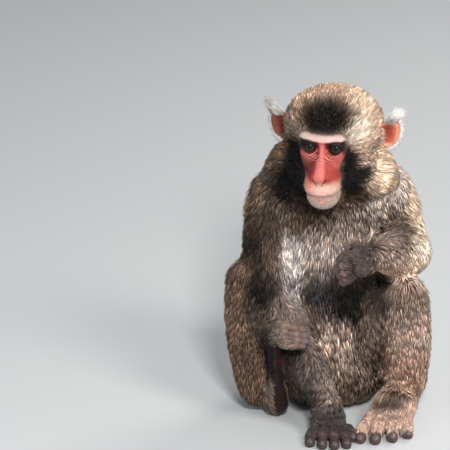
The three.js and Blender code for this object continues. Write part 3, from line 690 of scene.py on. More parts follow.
def coatTips(points, normals, edges):
    tips = relax(byNode({name: tone(*colour) for name, colour in nodeTones.items()}), edges, 24)
    headParts = ("head", "face", "ear_left", "ear_right")
    arms = ("forearm_left", "forearm_right")
    part = {name: relax((nodeAt == name).astype(float), edges, 12) for name in headParts + arms}
    p, inHead = points * 1000, toHead(points)
    p = p + 5 * np.stack([cloudy(p, 22, seed) for seed in (1, 2, 3)], 1)
    body = 1 - ramp(0.3, 0.7, sum(part[name] for name in headParts))
    under = ramp(-0.1, 0.5, -normals[:, 2]) * part["forearm_left"]
    tips = mixed(tips, tone(176, 150, 138), under * 0.95)
    inner = ramp(-0.2, 0.6, normals @ unit([0.8, -0.4, 0.3])) * part["forearm_right"]
    tips = mixed(tips, tone(140, 124, 117), inner * 0.85)
    for centre, reach, colour, strength in bodyMarks.values():
        tips = mixed(tips, tone(*colour), patch(p, centre, reach) * strength * body)
    q = inHead + 2.2 * np.stack([cloudy(inHead, 9, seed) for seed in (4, 5, 6)], 1)
    for side, centre, reach, colour, strength in headMarks.values():
        flipped = q * [side, 1, 1] if side else bothSides(q)
        tips = mixed(tips, tone(*colour), patch(flipped, centre, reach) * strength * (1 - body))
    return tips


faceEdge = {  # half the width of the bare mask at each height, mm from the eyes
    "height": (-78, -72, -64, -54, -44, -32, -22, -14, -6, 2, 8, 13, 16.5, 20),
    "left": (6, 12.5, 17.5, 20, 21, 20.5, 18.5, 22, 25, 25.5, 26, 25.5, 22, 15),
    "right": (6, 12.5, 17.5, 20, 21, 21.5, 22, 24.5, 27, 27, 27, 26.5, 23, 16),
}
pawLay = {  # hair from wrist or ankle to the tips, and the bare palm, which way it faces and its height, mm
    "hand_right": {
        "start": (0, -104, 30), "end": (0, -160, 6), "flow": (0, -1, -0.35), "hair": 1.2,
        "palm": ((0, 0, -1), 0.0, 0.5), "below": 999, "bareFrom": 15, "tone": (66, 53, 51),
    },
    "hand_left": {
        "start": (50, -112, 228), "end": (8, -136, 208), "flow": (-1, -0.25, -0.2), "hair": 1.2,
        "palm": ((0.25, 1, -0.15), 0.0, 0.5), "below": 999, "bareFrom": 11, "tone": (92, 76, 73),
    },
    "foot_right": {
        "start": (-72, -104, 122), "end": (-32, -116, 128), "flow": (1, -0.2, -0.1), "hair": 1,
        "palm": ((0, -1, 0), 0.1, 0.5), "below": 108, "bareFrom": 15, "tone": (98, 79, 72),
    },
    "foot_left": {
        "start": (84, -40, 20), "end": (58, -142, 4), "flow": (-0.2, -1, -0.15), "hair": 2.3,
        "palm": ((0, 0, -1), 0.1, 0.6), "below": 999, "bareFrom": 25, "tone": (78, 60, 54),
    },
}


def bareness(points, normals):  # 1 where the skin is bare
    p = toHead(points)
    halfWidth = [np.interp(p[:, 2], faceEdge["height"], faceEdge[side]) for side in ("right", "left")]
    halfWidth = np.where(p[:, 0] < 0, *halfWidth)
    bare = ramp(1.12, 0.95, np.abs(p[:, 0]) / halfWidth) * ramp(13, 6, p[:, 1]) * ramp(20, 14.5, p[:, 2])
    bare *= ramp(-79, -74, p[:, 2]) * (kindAt != "ear")
    for side in (-1, 1):
        forward = (normals @ headAxes.T) @ earAxes(side) @ [0, -1, 0]
        bare = np.maximum(bare, (kindAt == "ear") * (p[:, 0] * side > 0) * ramp(-0.5, 0.1, forward))
    for name, paw in pawLay.items():
        facing, low, high = paw["palm"]
        here = (nodeAt == name) * ramp(paw["below"] + 8, paw["below"], points[:, 2] * 1000)
        bare = np.maximum(bare, here * ramp(low, high, normals @ unit(facing)))
        start = paw["bareFrom"]
        bare = np.maximum(bare, (nodeAt == name) * ramp(start - 5, start + 5, alongDigit))
    return bare


def progress(points, paw):
    start, end = np.array(paw["start"]), np.array(paw["end"])
    return (points * 1000 - start) @ (end - start) / ((end - start) @ (end - start))


smoothNormals = unit(relax(normals, edges, 10))
tips = coatTips(points, smoothNormals, edges)
bare = relax(bareness(points, normals), edges, 2)
hollow = ((relax(points, edges, 3) - points) * normals).sum(1) * 1000  # mm, above 0 in a hollow


def bareTones(points):
    p = toHead(points)
    x, y, z = p.T
    wide = np.abs(x)
    made = np.tile(tone(143, 57, 50), (len(p), 1))
    lipHeight = z + 52.0 - 0.004 * x ** 2
    across = bothSides(p)
    isRight = x < 0
    lower, upper = ramp(-0.5, -3, z), ramp(0, 2.5, z)
    # a pale line down the nose ridge: paler skin, and a painted highlight
    noseLine = ramp(5.5, 2, wide + 0.08 * z) * ramp(10, 5, z) * ramp(-36, -30, z)
    lashes = bump(eyeSpots, 0.3, 1.5) * np.maximum(upper, bump(eyeSpots, 0.1, 0.8))
    crease = np.clip(-folds / 0.3, 0, 1)
    crest = np.clip(folds / 0.4, 0, 1)
    washes = {  # where, tone and strength, each over those before it
        "noseRidge": (ramp(12, 7, wide) * ramp(5, 0, z) * ramp(-30, -20, z), (152, 54, 50), 0.75),
        "noseLine": (noseLine, (190, 106, 100), 0.85),
        "cheekbones": (patch(across, (21, -8, -12), (9, 16, 10)), (158, 66, 58), 0.8),
        "shadedCheek": (patch(p, (-17, -10, -19), (11, 18, 13)), (84, 36, 35), 0.85),
        # painted shadow at the eyes' inner corners, stronger on the -x side
        "innerCorners": (bump(wide, 8.5, 2.6) * bump(z, 0, 9) * (0.45 + 0.55 * isRight), (66, 30, 29), 0.9),
        "muzzle": (patch(p, (0, -8, -46), (26, 34, 12)), (198, 166, 147), 0.85),
        # the muzzle's -x side redder and darker: its own red, and painted shade
        "muzzleRight": (patch(p, (-16, -8, -44), (10, 30, 12)), (206, 118, 100), 0.7),
        "upperLip": (patch(p, (0, -28, -46), (13, 12, 5)), (208, 150, 142), 0.8),
        "chin": (patch(p, (0, -6, -66), (24, 26, 13)), (214, 158, 142), 0.95),
        "lowerLip": (patch(p, (0, -23, -56), (15, 9, 3)), (180, 112, 106), 0.7),
        "brow": (ramp(8.5, 12, z), (232, 186, 177), 0.95),
        # painted shadow under the brow bar
        "browFold": (bump(z - 0.05 * wide, 7.0, 2.2) * ramp(3, 7, wide), (34, 18, 18), 0.95),
        # dark skin of the upper lids and the eyes' outer corners, deepened by painted shade of the eye
        # sockets
        "upperLids": (bump(eyeSpots, 2.6, 3.4) * upper, (24, 14, 14), 1.0),
        "outerCorners": (patch(across, (26.5, -2, 3), (7, 9, 9)), (18, 12, 12), 1.0),
        "lowerLids": (bump(eyeSpots, 2.4, 1.3) * lower, (190, 100, 92), 0.85),
        # painted shade in the folds' hollows, stronger on the -x side, and painted highlights on their
        # crests
        "creases": (crease * (z < 4) * (z > -30) * np.where(isRight, 1, 0.75), (66, 26, 26), 0.95),
        "crests": (crest * (z < 2) * (z > -26), (216, 128, 118), 0.75),
        "mouthLine": (bump(lipHeight, 0, 1.0) * (y < -3) * ramp(22, 18, wide), (92, 44, 44), 0.9),
        "lashes": (lashes, (20, 12, 12), 1.0),
        "insideLids": (ramp(0.3, -0.3, eyeSpots), (20, 13, 13), 1.0),
        # painted shade inside the nostrils
        "nostrils": (ramp(0.9, -0.4, rod(across, *nostrilLay)), (44, 16, 16), 1.0),
    }
    onFace = np.isin(kindAt, ("face", "eye", "head"))
    for weight, colour, strength in washes.values():
        made = mixed(made, tone(*colour), weight * strength * onFace)
    ear = kindAt == "ear"
    made[ear] = tone(200, 124, 98)
    for side in (-1, 1):
        q = (p - earLay["at"] * [side, 1, 1]) @ earAxes(side) * [side, 0, 1]
        here = ear * (x * side > 0)
        # the ear's hollow: deeper red skin, darkened further as painted shade
        made = mixed(made, tone(138, 52, 40), here * patch(q, (-2.5, 0, -3), (8.5, 1, 15), 0.5) * 0.9)
        made = mixed(made, tone(218, 162, 138), here * ramp(-12, -18, q[:, 2]) * 0.7)
    # the -x ear darkened as painted shade
    made = mixed(made, tone(62, 30, 25), ear * isRight * 0.7)
    for name, paw in pawLay.items():
        made[nodeAt == name] = tone(*paw["tone"])
    # painted shade in the hollows between fingers and toes, painted highlights on the knuckles
    relief = 1 + 0.7 * ramp(0.0, 0.4, -hollow) - 0.75 * ramp(0.02, 0.3, hollow)
    made *= np.where(isPaw, relief, 1)[:, None]
    height = points[:, 2] * 1000
    # the sole's dark skin, deepened as painted shade
    sole = (nodeAt == "foot_right") * ramp(0.0, 0.4, -normals[:, 1]) * ramp(118, 110, height)
    made = mixed(made, tone(36, 22, 21), sole)
    made = mixed(made, tone(72, 38, 35), sole * bump(height, 88, 4) * 0.5)
    # painted shade in crease lines across the sole
    creaseShadeLines = np.clip(np.sin(height * 0.9 + 0.1 * points[:, 0] * 1000), 0, 1) ** 4
    made *= (1 - 0.35 * sole * creaseShadeLines)[:, None]
    mottle = 1 + 0.12 * cloudy(p, 1.7, 8) + 0.09 * cloudy(p, 5, 9)
    return made * mottle[:, None]


unseen = np.flatnonzero((bare < 0.01) & ~isPaw & ~np.isin(kindAt, ("face", "eye", "ear")))
skin.vertex_groups.new(name="underCoat").add(unseen.tolist(), 1.0, "REPLACE")
thinner = skin.modifiers.new("thinner", "DECIMATE")  # fewer triangles where the coat hides them
thinner.vertex_group = "underCoat"
thinner.ratio = skinLay["keepUnseen"]

underCoat = tips * 0.42 + tone(*skinLay["underCoat"]) * 0.2
skinTones = mixed(underCoat, bareTones(points), np.clip(bare, 0, 1))
paint = skinMesh.color_attributes.new("skinTone", "FLOAT_COLOR", "POINT")
paint.data.foreach_set("color", np.hstack([skinTones, np.ones((len(skinTones), 1))]).ravel())
print("markings laid on the skin")


def material(name, **settings):
    made = bpy.data.materials.new(name)
    made.use_nodes = True
    shader = made.node_tree.nodes["Principled BSDF"]
    for socket, value in settings.items():
        shader.inputs[socket].default_value = value
    return made, made.node_tree.nodes, made.node_tree.links, shader


def addNoise(nodes, links, coordinates, scale, detail=3):
    noiseNode = nodes.new("ShaderNodeTexNoise")
    noiseNode.inputs["Scale"].default_value = scale
    noiseNode.inputs["Detail"].default_value = detail
    links.new(coordinates.outputs["Object"], noiseNode.inputs["Vector"])
    return noiseNode


def shaded(nodes, links, colour, factor, dark, light):  # a colour made darker and lighter by a texture
    span = nodes.new("ShaderNodeMapRange")
    span.inputs["To Min"].default_value, span.inputs["To Max"].default_value = dark, light
    links.new(factor, span.inputs["Value"])
    scaled = nodes.new("ShaderNodeVectorMath")
    scaled.operation = "SCALE"
    links.new(colour, scaled.inputs[0])
    links.new(span.outputs["Result"], scaled.inputs["Scale"])
    return scaled.outputs["Vector"]


def attributeMaterial(name, attribute, fine, dark, light, relief, **settings):
    made, nodesMade, links, shader = material(name, **settings)
    coordinates = nodesMade.new("ShaderNodeTexCoord")
    colour = nodesMade.new("ShaderNodeAttribute")
    colour.attribute_name = attribute
    noiseNode = addNoise(nodesMade, links, coordinates, fine)
    mottled = shaded(nodesMade, links, colour.outputs["Color"], noiseNode.outputs["Fac"], dark, light)
    links.new(mottled, shader.inputs["Base Color"])
    if relief:
        grain = nodesMade.new("ShaderNodeBump")
        grain.inputs["Distance"].default_value = relief
        grain.inputs["Strength"].default_value = 0.6
        links.new(noiseNode.outputs["Fac"], grain.inputs["Height"])
        links.new(grain.outputs["Normal"], shader.inputs["Normal"])
    return made


skinFinish = attributeMaterial(
    "bareSkin", "skinTone", fine=1400, dark=0.82, light=1.16, relief=0.0006,
    **{"Roughness": 0.5, "Specular IOR Level": 0.16, "Subsurface Weight": 0.08,
       "Subsurface Scale": 0.002, "Subsurface Radius": (1.0, 0.35, 0.25)})
hairFinish = attributeMaterial(
    "coatHair", "hairTone", fine=900, dark=0.86, light=1.12, relief=0,
    **{"Roughness": 0.62, "Specular IOR Level": 0.22})
whiteFinish = attributeMaterial(
    "whiteHair", "hairTone", fine=900, dark=0.92, light=1.06, relief=0,
    **{"Roughness": 0.6, "Specular IOR Level": 0.25})

nailLay = {  # shares of the digit's radius; "thick" and the two curves are in mm
    "width": 0.68, "length": 0.98, "thick": 0.8, "curve": 1.5, "hook": 0.8, "up": 0.98, "ahead": 0.42,
    "tones": ((0.3, (72, 66, 70)), (0.7, (98, 94, 100))),
}
nailFinish, nailNodes, nailLinks, nailShader = material(
    "nail", **{"Roughness": 0.34, "Specular IOR Level": 0.45})
nailPlace = nailNodes.new("ShaderNodeTexCoord")
nailNoise = addNoise(nailNodes, nailLinks, nailPlace, 1600)
nailTone = nailNodes.new("ShaderNodeValToRGB")
for stop, (position, colour) in zip(nailTone.color_ramp.elements, nailLay["tones"]):
    stop.position = position
    stop.color = (*tone(*colour), 1)
nailLinks.new(nailNoise.outputs["Fac"], nailTone.inputs["Fac"])
nailLinks.new(nailTone.outputs["Color"], nailShader.inputs["Base Color"])


def makeNails(paw, lay):  # a curved nail on the back of each finger's tip
    bm = bmesh.new()
    for joints in lay["joints"]:
        facing = lay.get("thumbBack", lay["back"]) if len(joints) == 3 else lay["back"]
        tip, before = np.array(joints[-1]), np.array(joints[-2])
        ahead = unit(tip - before)
        beside = unit(np.cross(ahead, facing))
        upright = np.cross(beside, ahead)
        size = lay["radii"][1]
        seat = tip + upright * size * nailLay["up"] + ahead * size * nailLay["ahead"]
        for vert in bmesh.ops.create_uvsphere(bm, u_segments=20, v_segments=12, radius=1)["verts"]:
            x, y, z = vert.co
            sideways, forward = x * size * nailLay["width"], y * size * nailLay["length"]
            rise = z * nailLay["thick"] - nailLay["curve"] * x * x - nailLay["hook"] * max(y, 0) ** 2
            vert.co = (seat + sideways * beside + forward * ahead + rise * upright) / 1000
    bmesh.ops.recalc_face_normals(bm, faces=bm.faces)
    kind = ("fingernail_" if paw.startswith("hand") else "toenail_") + paw.split("_")[1]
    replaced = [name for name in nodes if name.startswith(kind)]
    newPiece("nails_" + paw, smoothMesh("nails_" + paw, bm), nailFinish, "nail", *replaced)


for paw, lay in digits.items():
    makeNails(paw, lay)

skinMesh.materials.clear()
skinMesh.materials.append(skinFinish)
skinMesh.polygons.foreach_set("material_index", np.zeros(len(skinMesh.polygons), np.int32))
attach(skin, "root")
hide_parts(*[name for name in fleshNames if not name.startswith("eye_")])


eyeLay = {  # mm, and degrees out from the middle of the pupil
    "radius": 9.1, "bulge": 0.7, "pupil": 19, "iris": 45, "gaze": (0.12, -0.96, 0.25),
    "tones": {
        "inner": (74, 50, 27), "outer": (38, 25, 15), "rim": (12, 8, 7), "underLid": (16, 11, 9),
        "white": (62, 44, 38),
    },
    "black": (0.004, 0.003, 0.003),  # the pupil, linear
}


def makeEye(side):
    pupil, iris = eyeLay["pupil"], eyeLay["iris"]
    tones = {key: tone(*colour) for key, colour in eyeLay["tones"].items()}
    bm = bmesh.new()
    bmesh.ops.create_uvsphere(bm, u_segments=96, v_segments=72, radius=eyeLay["radius"] / 1000)
    tint = bm.verts.layers.float_color.new("eyeTone")
    for vert in bm.verts:
        x, y, z = vert.co * 1000
        angle = math.degrees(math.atan2(math.hypot(x, y), z))
        around = math.atan2(y, x)
        streak = 0.5 + 0.5 * noise.noise(Vector((math.cos(around) * 6, math.sin(around) * 6, angle / 9)))
        # painted shade of the upper lid across the top of the iris
        lidShade = 0.85 * ramp(-0.3, 0.7, math.sin(around)) * ramp(8, 26, angle)
        colour = mixed(tones["inner"], tones["outer"], 0.6 * streak + 0.4 * ramp(24, 38, angle))
        colour = mixed(colour, tones["rim"], ramp(iris - 16, iris - 6, angle))
        colour = mixed(colour, tones["underLid"], lidShade)
        colour = mixed(colour, tones["white"], ramp(iris, iris + 3, angle))
        colour = mixed(np.array(eyeLay["black"]), colour, ramp(pupil - 2, pupil + 5, angle))
        vert[tint] = (*colour, 1)
        vert.co *= 1 + eyeLay["bulge"] / eyeLay["radius"] * ramp(iris + 3, 0, angle)
    facing = Vector(np.array(eyeLay["gaze"]) @ headAxes).to_track_quat("Z", "Y").to_matrix().to_4x4()
    seat = Matrix.Translation(Vector(middle("eye_" + side)))
    bmesh.ops.transform(bm, matrix=seat @ facing, verts=bm.verts)
    newPiece("eyeball_" + side, smoothMesh("eyeball_" + side, bm), eyeFinish, "eye", "eye_" + side)


eyeFinish = attributeMaterial(
    "wetEye", "eyeTone", fine=2500, dark=0.9, light=1.1, relief=0,
    **{"Roughness": 0.5, "Coat Weight": 1.0, "Coat Roughness": 0.02, "Coat IOR": 1.31,
       "Specular IOR Level": 0.0})
for side in ("right", "left"):
    makeEye(side)
print("eyes made")


# the coat: solid tufts grown from the skin
coatLay = {
    "tufts": 138000, "quickTufts": 42000,
    "sink": 0.6,  # mm of each tuft below the skin
    "length": {  # mm
        "head": 13, "neck": 23, "chest": 23, "hips": 24, "tail": 16, "upper_arm": 22, "forearm": 16,
        "thigh": 22, "shin": 18, "hand": 4.6, "foot": 5.6, "ear": 3.5, "face": 4, "eye": 3,
    },
    "width": {  # mm
        "head": 1.2, "neck": 2.0, "chest": 1.9, "hips": 2.3, "tail": 1.5, "upper_arm": 2.0, "forearm": 1.7,
        "thigh": 2.0, "shin": 1.8, "hand": 0.6, "foot": 0.65, "ear": 0.5, "face": 0.5, "eye": 0.5,
    },
    "density": {  # tufts in a square millimetre, before the count is set
        "head": 0.75, "neck": 0.42, "chest": 0.46, "hips": 0.3, "tail": 0.6, "upper_arm": 0.42,
        "forearm": 0.6, "thigh": 0.42, "shin": 0.55, "hand": 1.5, "foot": 1.4, "ear": 0.8, "face": 1.2,
        "eye": 0,
    },
    "lock": {  # reach in metres; turn is the least cosine between two tufts of a lock
        "tufts": 9, "reach": 0.008, "turn": 0.6, "pull": 0.6, "midPull": 0.45,
    },
    "shade": {"tuft": 0.30, "lock": 0.22},  # how widely the tones vary
    "grizzle": {"share": 0.24, "paler": [1.6, 1.5, 1.36]},
    "rootTone": (40, 34, 32),
}
flowLay = {  # which way the hair lies
    "neck": (0, 0.15, -1), "chest": (0, -0.1, -1), "hips": (0, 0.15, -1), "tail": (0.1, 1, -0.4),
    "upper_arm_right": (-0.12, -0.45, -0.9), "upper_arm_left": (0.3, -0.15, -0.95),
    "forearm_right": (-0.27, -0.1, -0.88), "forearm_left": (0.45, 0.1, -0.85),
    "thigh_right": (-0.1, -0.35, -0.9), "thigh_left": (0.1, -0.3, -0.9),
    "shin_right": (-0.05, -0.05, -1), "shin_left": (0.05, -0.12, -1), "other": (0, 0, -1),
}
coatPieces = {  # piece, its nodes and the slot of its finish
    "coat_crown": (("head",), "mantle_coat"),
    "coat_cheeks": (("head", "face", "ear_left", "ear_right"), "mantle_coat"),
    "coat_neck": (("neck",), "mantle_coat"), "coat_chest": (("chest",), "body_coat"),
    "coat_back": (("chest",), "body_coat"), "coat_hips": (("hips", "tail"), "body_coat"),
    "coat_arm_right": (("upper_arm_right", "forearm_right", "hand_right"), "body_coat"),
    "coat_arm_left": (("upper_arm_left", "forearm_left", "hand_left"), "mantle_coat"),
    "coat_leg_right": (("thigh_right", "shin_right", "foot_right"), "body_coat"),
    "coat_leg_left": (("thigh_left", "shin_left"), "body_coat"),
    "coat_foot_left": (("foot_left",), "body_coat"),
}


def coatFlow(points, normals, edges):
    flow = byNode(flowLay)
    for name, paw in pawLay.items():
        flow[nodeAt == name] = paw["flow"]
    p = toHead(points)
    flow[:, 0] += (kindAt == "chest") * 0.35 * np.clip(points[:, 0] / 0.06, -1, 1)
    fromFace = unit(p - [0, -26, -18])
    fromFace[:, 2] -= 1.3 * ramp(40, 95, p[:, 1]) + 0.35 * ramp(0, -40, p[:, 2])
    isHead = np.isin(kindAt, ("head", "face", "ear", "eye"))
    flow[isHead] = (fromFace @ headAxes)[isHead]
    lip = isHead & (p[:, 1] < 4) & (p[:, 2] < -30)
    flow[lip] = ((unit(p - [0, -30, -44]) + [0, 0, -0.5]) @ headAxes)[lip]
    for _ in range(6):
        flow -= normals * (flow * normals).sum(1)[:, None]
        flow = relax(unit(flow), edges, 4)
    flow -= normals * (flow * normals).sum(1)[:, None]
    return unit(flow)


def coatLengths(points):
    length = byKind(coatLay["length"])
    p = toHead(points)
    wide = np.abs(p[:, 0])
    isHead = np.isin(kindAt, ("head", "face"))
    whisker = ramp(34, 52, wide) * ramp(6, -16, p[:, 2])
    brow = ramp(26, 8, p[:, 1]) * ramp(8, 24, p[:, 2])
    beside = ramp(36, 28, wide) * (p[:, 1] < 30)
    length = np.where(isHead, 12 + 9 * whisker - 6 * brow - 3 * beside, length)  # mm
    length = length + 9 * patch(points * 1000, (50, -30, 40), (24, 34, 26)) * (kindAt == "shin")
    length = relax(length, edges, 16)
    for name, paw in pawLay.items():
        here = nodeAt == name
        length[here] *= (1.6 - 0.9 * np.clip(progress(points, paw), 0, 1))[here] * paw["hair"]
    return length


flow = coatFlow(points, smoothNormals, edges)
length = coatLengths(points) / 1000
width = relax(byKind(coatLay["width"]), edges, 10) / 1000
density = relax(byKind(coatLay["density"]), edges, 10) * ramp(0.96, 0.5, bare)
skinMesh.calc_loop_triangles()
corners = rows(skinMesh.loop_triangles, "vertices", 3, np.int32)
cornerLoops = rows(skinMesh.loop_triangles, "loops", 3, np.int32)


def unwrapped(obj):  # an unwrap of the skin's own shape, for placing each tuft on the bake map
    bpy.context.view_layer.objects.active = obj
    obj.select_set(True)
    bpy.ops.object.mode_set(mode="EDIT")
    bpy.ops.mesh.select_all(action="SELECT")
    bpy.ops.uv.smart_project(angle_limit=math.radians(66), island_margin=0.002)
    bpy.ops.object.mode_set(mode="OBJECT")
    obj.select_set(False)
    return rows(obj.data.uv_layers.active.uv, "vector", 2)


skinPlaces = unwrapped(skin)
print("skin unwrapped")


def blended(values, triangle, shares):  # a value at a point inside each triangle
    return np.einsum("tk,tk...->t...", shares, np.asarray(values)[corners[triangle]])


skinTree = BVHTree.FromPolygons(points.tolist(), corners.tolist())


def onSkin(places):  # the nearest point of the skin, and its triangle
    found = [skinTree.find_nearest(place) for place in places.tolist()]
    return np.array([hit[0] for hit in found]), np.array([hit[2] for hit in found])


def scatterRoots(count, density):
    a, b, c = (points[corners[:, k]] for k in range(3))
    area = np.linalg.norm(np.cross(b - a, c - a), axis=1) / 2 * 1e6
    want = area * density[corners].mean(1)
    steps = (np.arange(count) + random.random(count)) / count
    triangle = np.searchsorted(np.cumsum(want) / want.sum(), steps).clip(0, len(want) - 1)
    u, v = random.random((2, count))
    over = u + v > 1
    u[over], v[over] = 1 - u[over], 1 - v[over]
    return triangle, np.stack([1 - u - v, u, v], 1)


def laid(triangle, shares, long, loft, thick, stray):  # tufts that follow the skin in two legs
    root = blended(points, triangle, shares)
    up = unit(blended(smoothNormals, triangle, shares))
    way = unit(blended(flow, triangle, shares))
    way = unit(way + np.cross(up, way) * random.normal(0, stray, len(root))[:, None])
    firstLeg, under = onSkin(root + way * long[:, None] * 0.5)
    firstUp = unit(smoothNormals[corners[under]].mean(1))
    nextWay = unit(flow[corners[under]].mean(1) + 0.6 * way)
    secondLeg, under = onSkin(firstLeg + nextWay * long[:, None] * 0.5)
    secondUp = unit(smoothNormals[corners[under]].mean(1))
    return {
        "root": root, "up": up, "thick": thick, "under": under,
        "mid": firstLeg + firstUp * loft[:, None] * 0.68,
        "tip": secondLeg + secondUp * loft[:, None],
        "place": np.einsum("tk,tkc->tc", shares, skinPlaces[cornerLoops[triangle]]),
    }


count = coatLay["tufts"]
swell = math.sqrt(coatLay["tufts"] / count)
triangle, shares = scatterRoots(count, density)
coat = laid(
    triangle, shares,
    long=blended(length, triangle, shares) * random.uniform(0.72, 1.18, count),
    loft=blended(depth, triangle, shares) * random.uniform(0.5, 1.08, count),
    thick=blended(width, triangle, shares) * random.uniform(0.7, 1.25, count) * swell,
    stray=0.16)
print("tufts laid:", count)

# neighbouring tufts lean together into locks
leaders = random.choice(count, count // coatLay["lock"]["tufts"], replace=False)
lockTree = KDTree(len(leaders))
for index, leader in enumerate(leaders):
    lockTree.insert(coat["root"][leader], index)
lockTree.balance()
lock = np.array([lockTree.find(place)[1] for place in coat["root"].tolist()])
leader = leaders[lock]
gather = coatLay["lock"]["pull"] * random.uniform(0.5, 1.2, count)
gather *= np.linalg.norm(coat["tip"] - coat["tip"][leader], axis=1) < coatLay["lock"]["reach"]
gather *= (coat["up"] * coat["up"][leader]).sum(1) > coatLay["lock"]["turn"]
coat["tip"] += (coat["tip"][leader] - coat["tip"]) * gather[:, None]
coat["mid"] += (coat["mid"][leader] - coat["mid"]) * gather[:, None] * coatLay["lock"]["midPull"]
coat["root"] -= coat["up"] * coatLay["sink"] / 1000

# tones: dark at the root, paler and banded towards the tip
shade = random.normal(0, coatLay["shade"]["tuft"], count)
shade = np.exp(shade + random.normal(0, coatLay["shade"]["lock"], len(leaders))[lock])
tipTone = 0.7 * tips[corners[coat["under"]]].mean(1) + 0.3 * blended(tips, triangle, shares)
grizzle = (random.random(count) < coatLay["grizzle"]["share"])[:, None]
tipTone = tipTone * shade[:, None] * np.where(grizzle, coatLay["grizzle"]["paler"], 1.0)
rootTone = tipTone * 0.25 + tone(*coatLay["rootTone"]) * 0.2
coat["tones"] = np.stack([rootTone, tipTone * 0.85 + rootTone * 0.1, tipTone], 1)


def makeTufts(name, coat, chosen, finish, slot, *replaced):  # each a three-sided spike in two legs
    total = len(chosen)
    root, mid, tip, up = (coat[key][chosen] for key in ("root", "mid", "tip", "up"))
    along = unit(tip - root)
    side = unit(np.cross(along, up))
    rise = np.cross(side, along)
    verts = np.empty((total, 7, 3))
    tones = np.ones((total, 7, 4))
    for k, (across, over) in enumerate(((0, 0.6), (-0.9, -0.35), (0.9, -0.35))):
        offset = (side * across + rise * over) * coat["thick"][chosen][:, None] / 2
        verts[:, k], verts[:, 3 + k] = root + offset, mid + offset * 0.85
    verts[:, 6] = tip
    tones[:, :3, :3] = coat["tones"][chosen][:, :1]
    tones[:, 3:6, :3] = coat["tones"][chosen][:, 1:2]
    tones[:, 6, :3] = coat["tones"][chosen][:, 2]
    faces = [[0, 1, 2]]
    for k in range(3):
        n = (k + 1) % 3
        faces += [[n, k, 3 + k], [n, 3 + k, 3 + n], [3 + n, 3 + k, 6]]
    faces = np.array(faces)
    mesh = bpy.data.meshes.new(name)
    mesh.vertices.add(total * 7)
    mesh.loops.add(total * faces.size)
    mesh.polygons.add(total * len(faces))
    mesh.vertices.foreach_set("co", verts.ravel())
    mesh.loops.foreach_set("vertex_index", (faces.ravel()[None] + 7 * np.arange(total)[:, None]).ravel())
    mesh.polygons.foreach_set("loop_start", np.arange(total * len(faces)) * 3)
    mesh.polygons.foreach_set("use_smooth", np.ones(total * len(faces), bool))
    mesh.update(calc_edges=True)
    paint = mesh.color_attributes.new("hairTone", "FLOAT_COLOR", "POINT")
    paint.data.foreach_set("color", tones.ravel())
    spread = np.array([(0.5, 0), (0, 0), (1, 0), (0.5, 0.5), (0.1, 0.5), (0.9, 0.5), (0.5, 1)]) * 0.003
    places = coat["place"][chosen][:, None] + spread[faces.ravel()][None]
    mesh.uv_layers.new(name="OFBake").uv.foreach_set("vector", places.ravel())
    print(name, total, "tufts,", total * 10, "triangles")
    newPiece(name, mesh, finish, slot, *replaced)


grownOn = nodeAt[corners[triangle, 0]]
rootInHead = toHead(coat["root"])
# the crown's hair grows above a plane that falls towards the back of the head
onTop = (grownOn == "head") & (rootInHead[:, 2] + 0.25 * (rootInHead[:, 1] - 40) > -3)
inFront = coat["root"][:, 1] < 0.012  # metres
only = {"coat_crown": onTop, "coat_cheeks": ~onTop, "coat_chest": inFront, "coat_back": ~inFront}
for name, (nodeNames, slotName) in coatPieces.items():
    here = np.isin(grownOn, nodeNames) & only.get(name, True)
    makeTufts(name, coat, np.flatnonzero(here), hairFinish, slotName)

# fine pale hairs on the brow, the lips and the chin
fuzzLay = {  # metres
    "hairs": 4200, "length": 0.0032, "width": 0.00028, "loft": (0.0004, 0.0011), "sink": 0.0003,
    "tone": (236, 222, 212),
}
x, y, z = toHead(points).T
onBrow, onChin = ramp(9, 12, z), ramp(-54, -60, z)
fuzzDensity = np.isin(kindAt, ("face", "head")) * ramp(0.4, 0.9, bare) * (y < 12)
fuzzDensity *= 1.1 * onBrow + 1.0 * onChin + 0.3 * ramp(-41, -46, z) * (1 - onChin)
count = fuzzLay["hairs"]
triangle, shares = scatterRoots(count, fuzzDensity)
fuzz = laid(
    triangle, shares,
    long=fuzzLay["length"] * random.uniform(0.6, 1.5, count),
    loft=random.uniform(*fuzzLay["loft"], count),
    thick=fuzzLay["width"] * random.uniform(0.7, 1.3, count), stray=0.35)
fuzz["root"] -= fuzz["up"] * fuzzLay["sink"]
pale = tone(*fuzzLay["tone"]) * random.uniform(0.6, 1.1, count)[:, None]
fuzz["tones"] = np.stack([pale * 0.7, pale * 0.9, pale], 1)
makeTufts("face_fuzz", fuzz, np.arange(count), whiteFinish, "white_hair")

# long whitish hair standing from the top of each ear, shorter along its rim
earHairLay = {  # mm in the ear's own frame; the width is in metres
    "hairs": 620, "rim": 0.36, "length": (13, 23), "rimLength": (4, 8), "width": 0.0010, "sag": 0.08,
    "rimRadii": (12.5, 18.5), "arc": (-70, 80), "top": (-2, -2, 16), "spread": [3.2, 1.5, 2.0],
    "tone": (236, 230, 224),
}


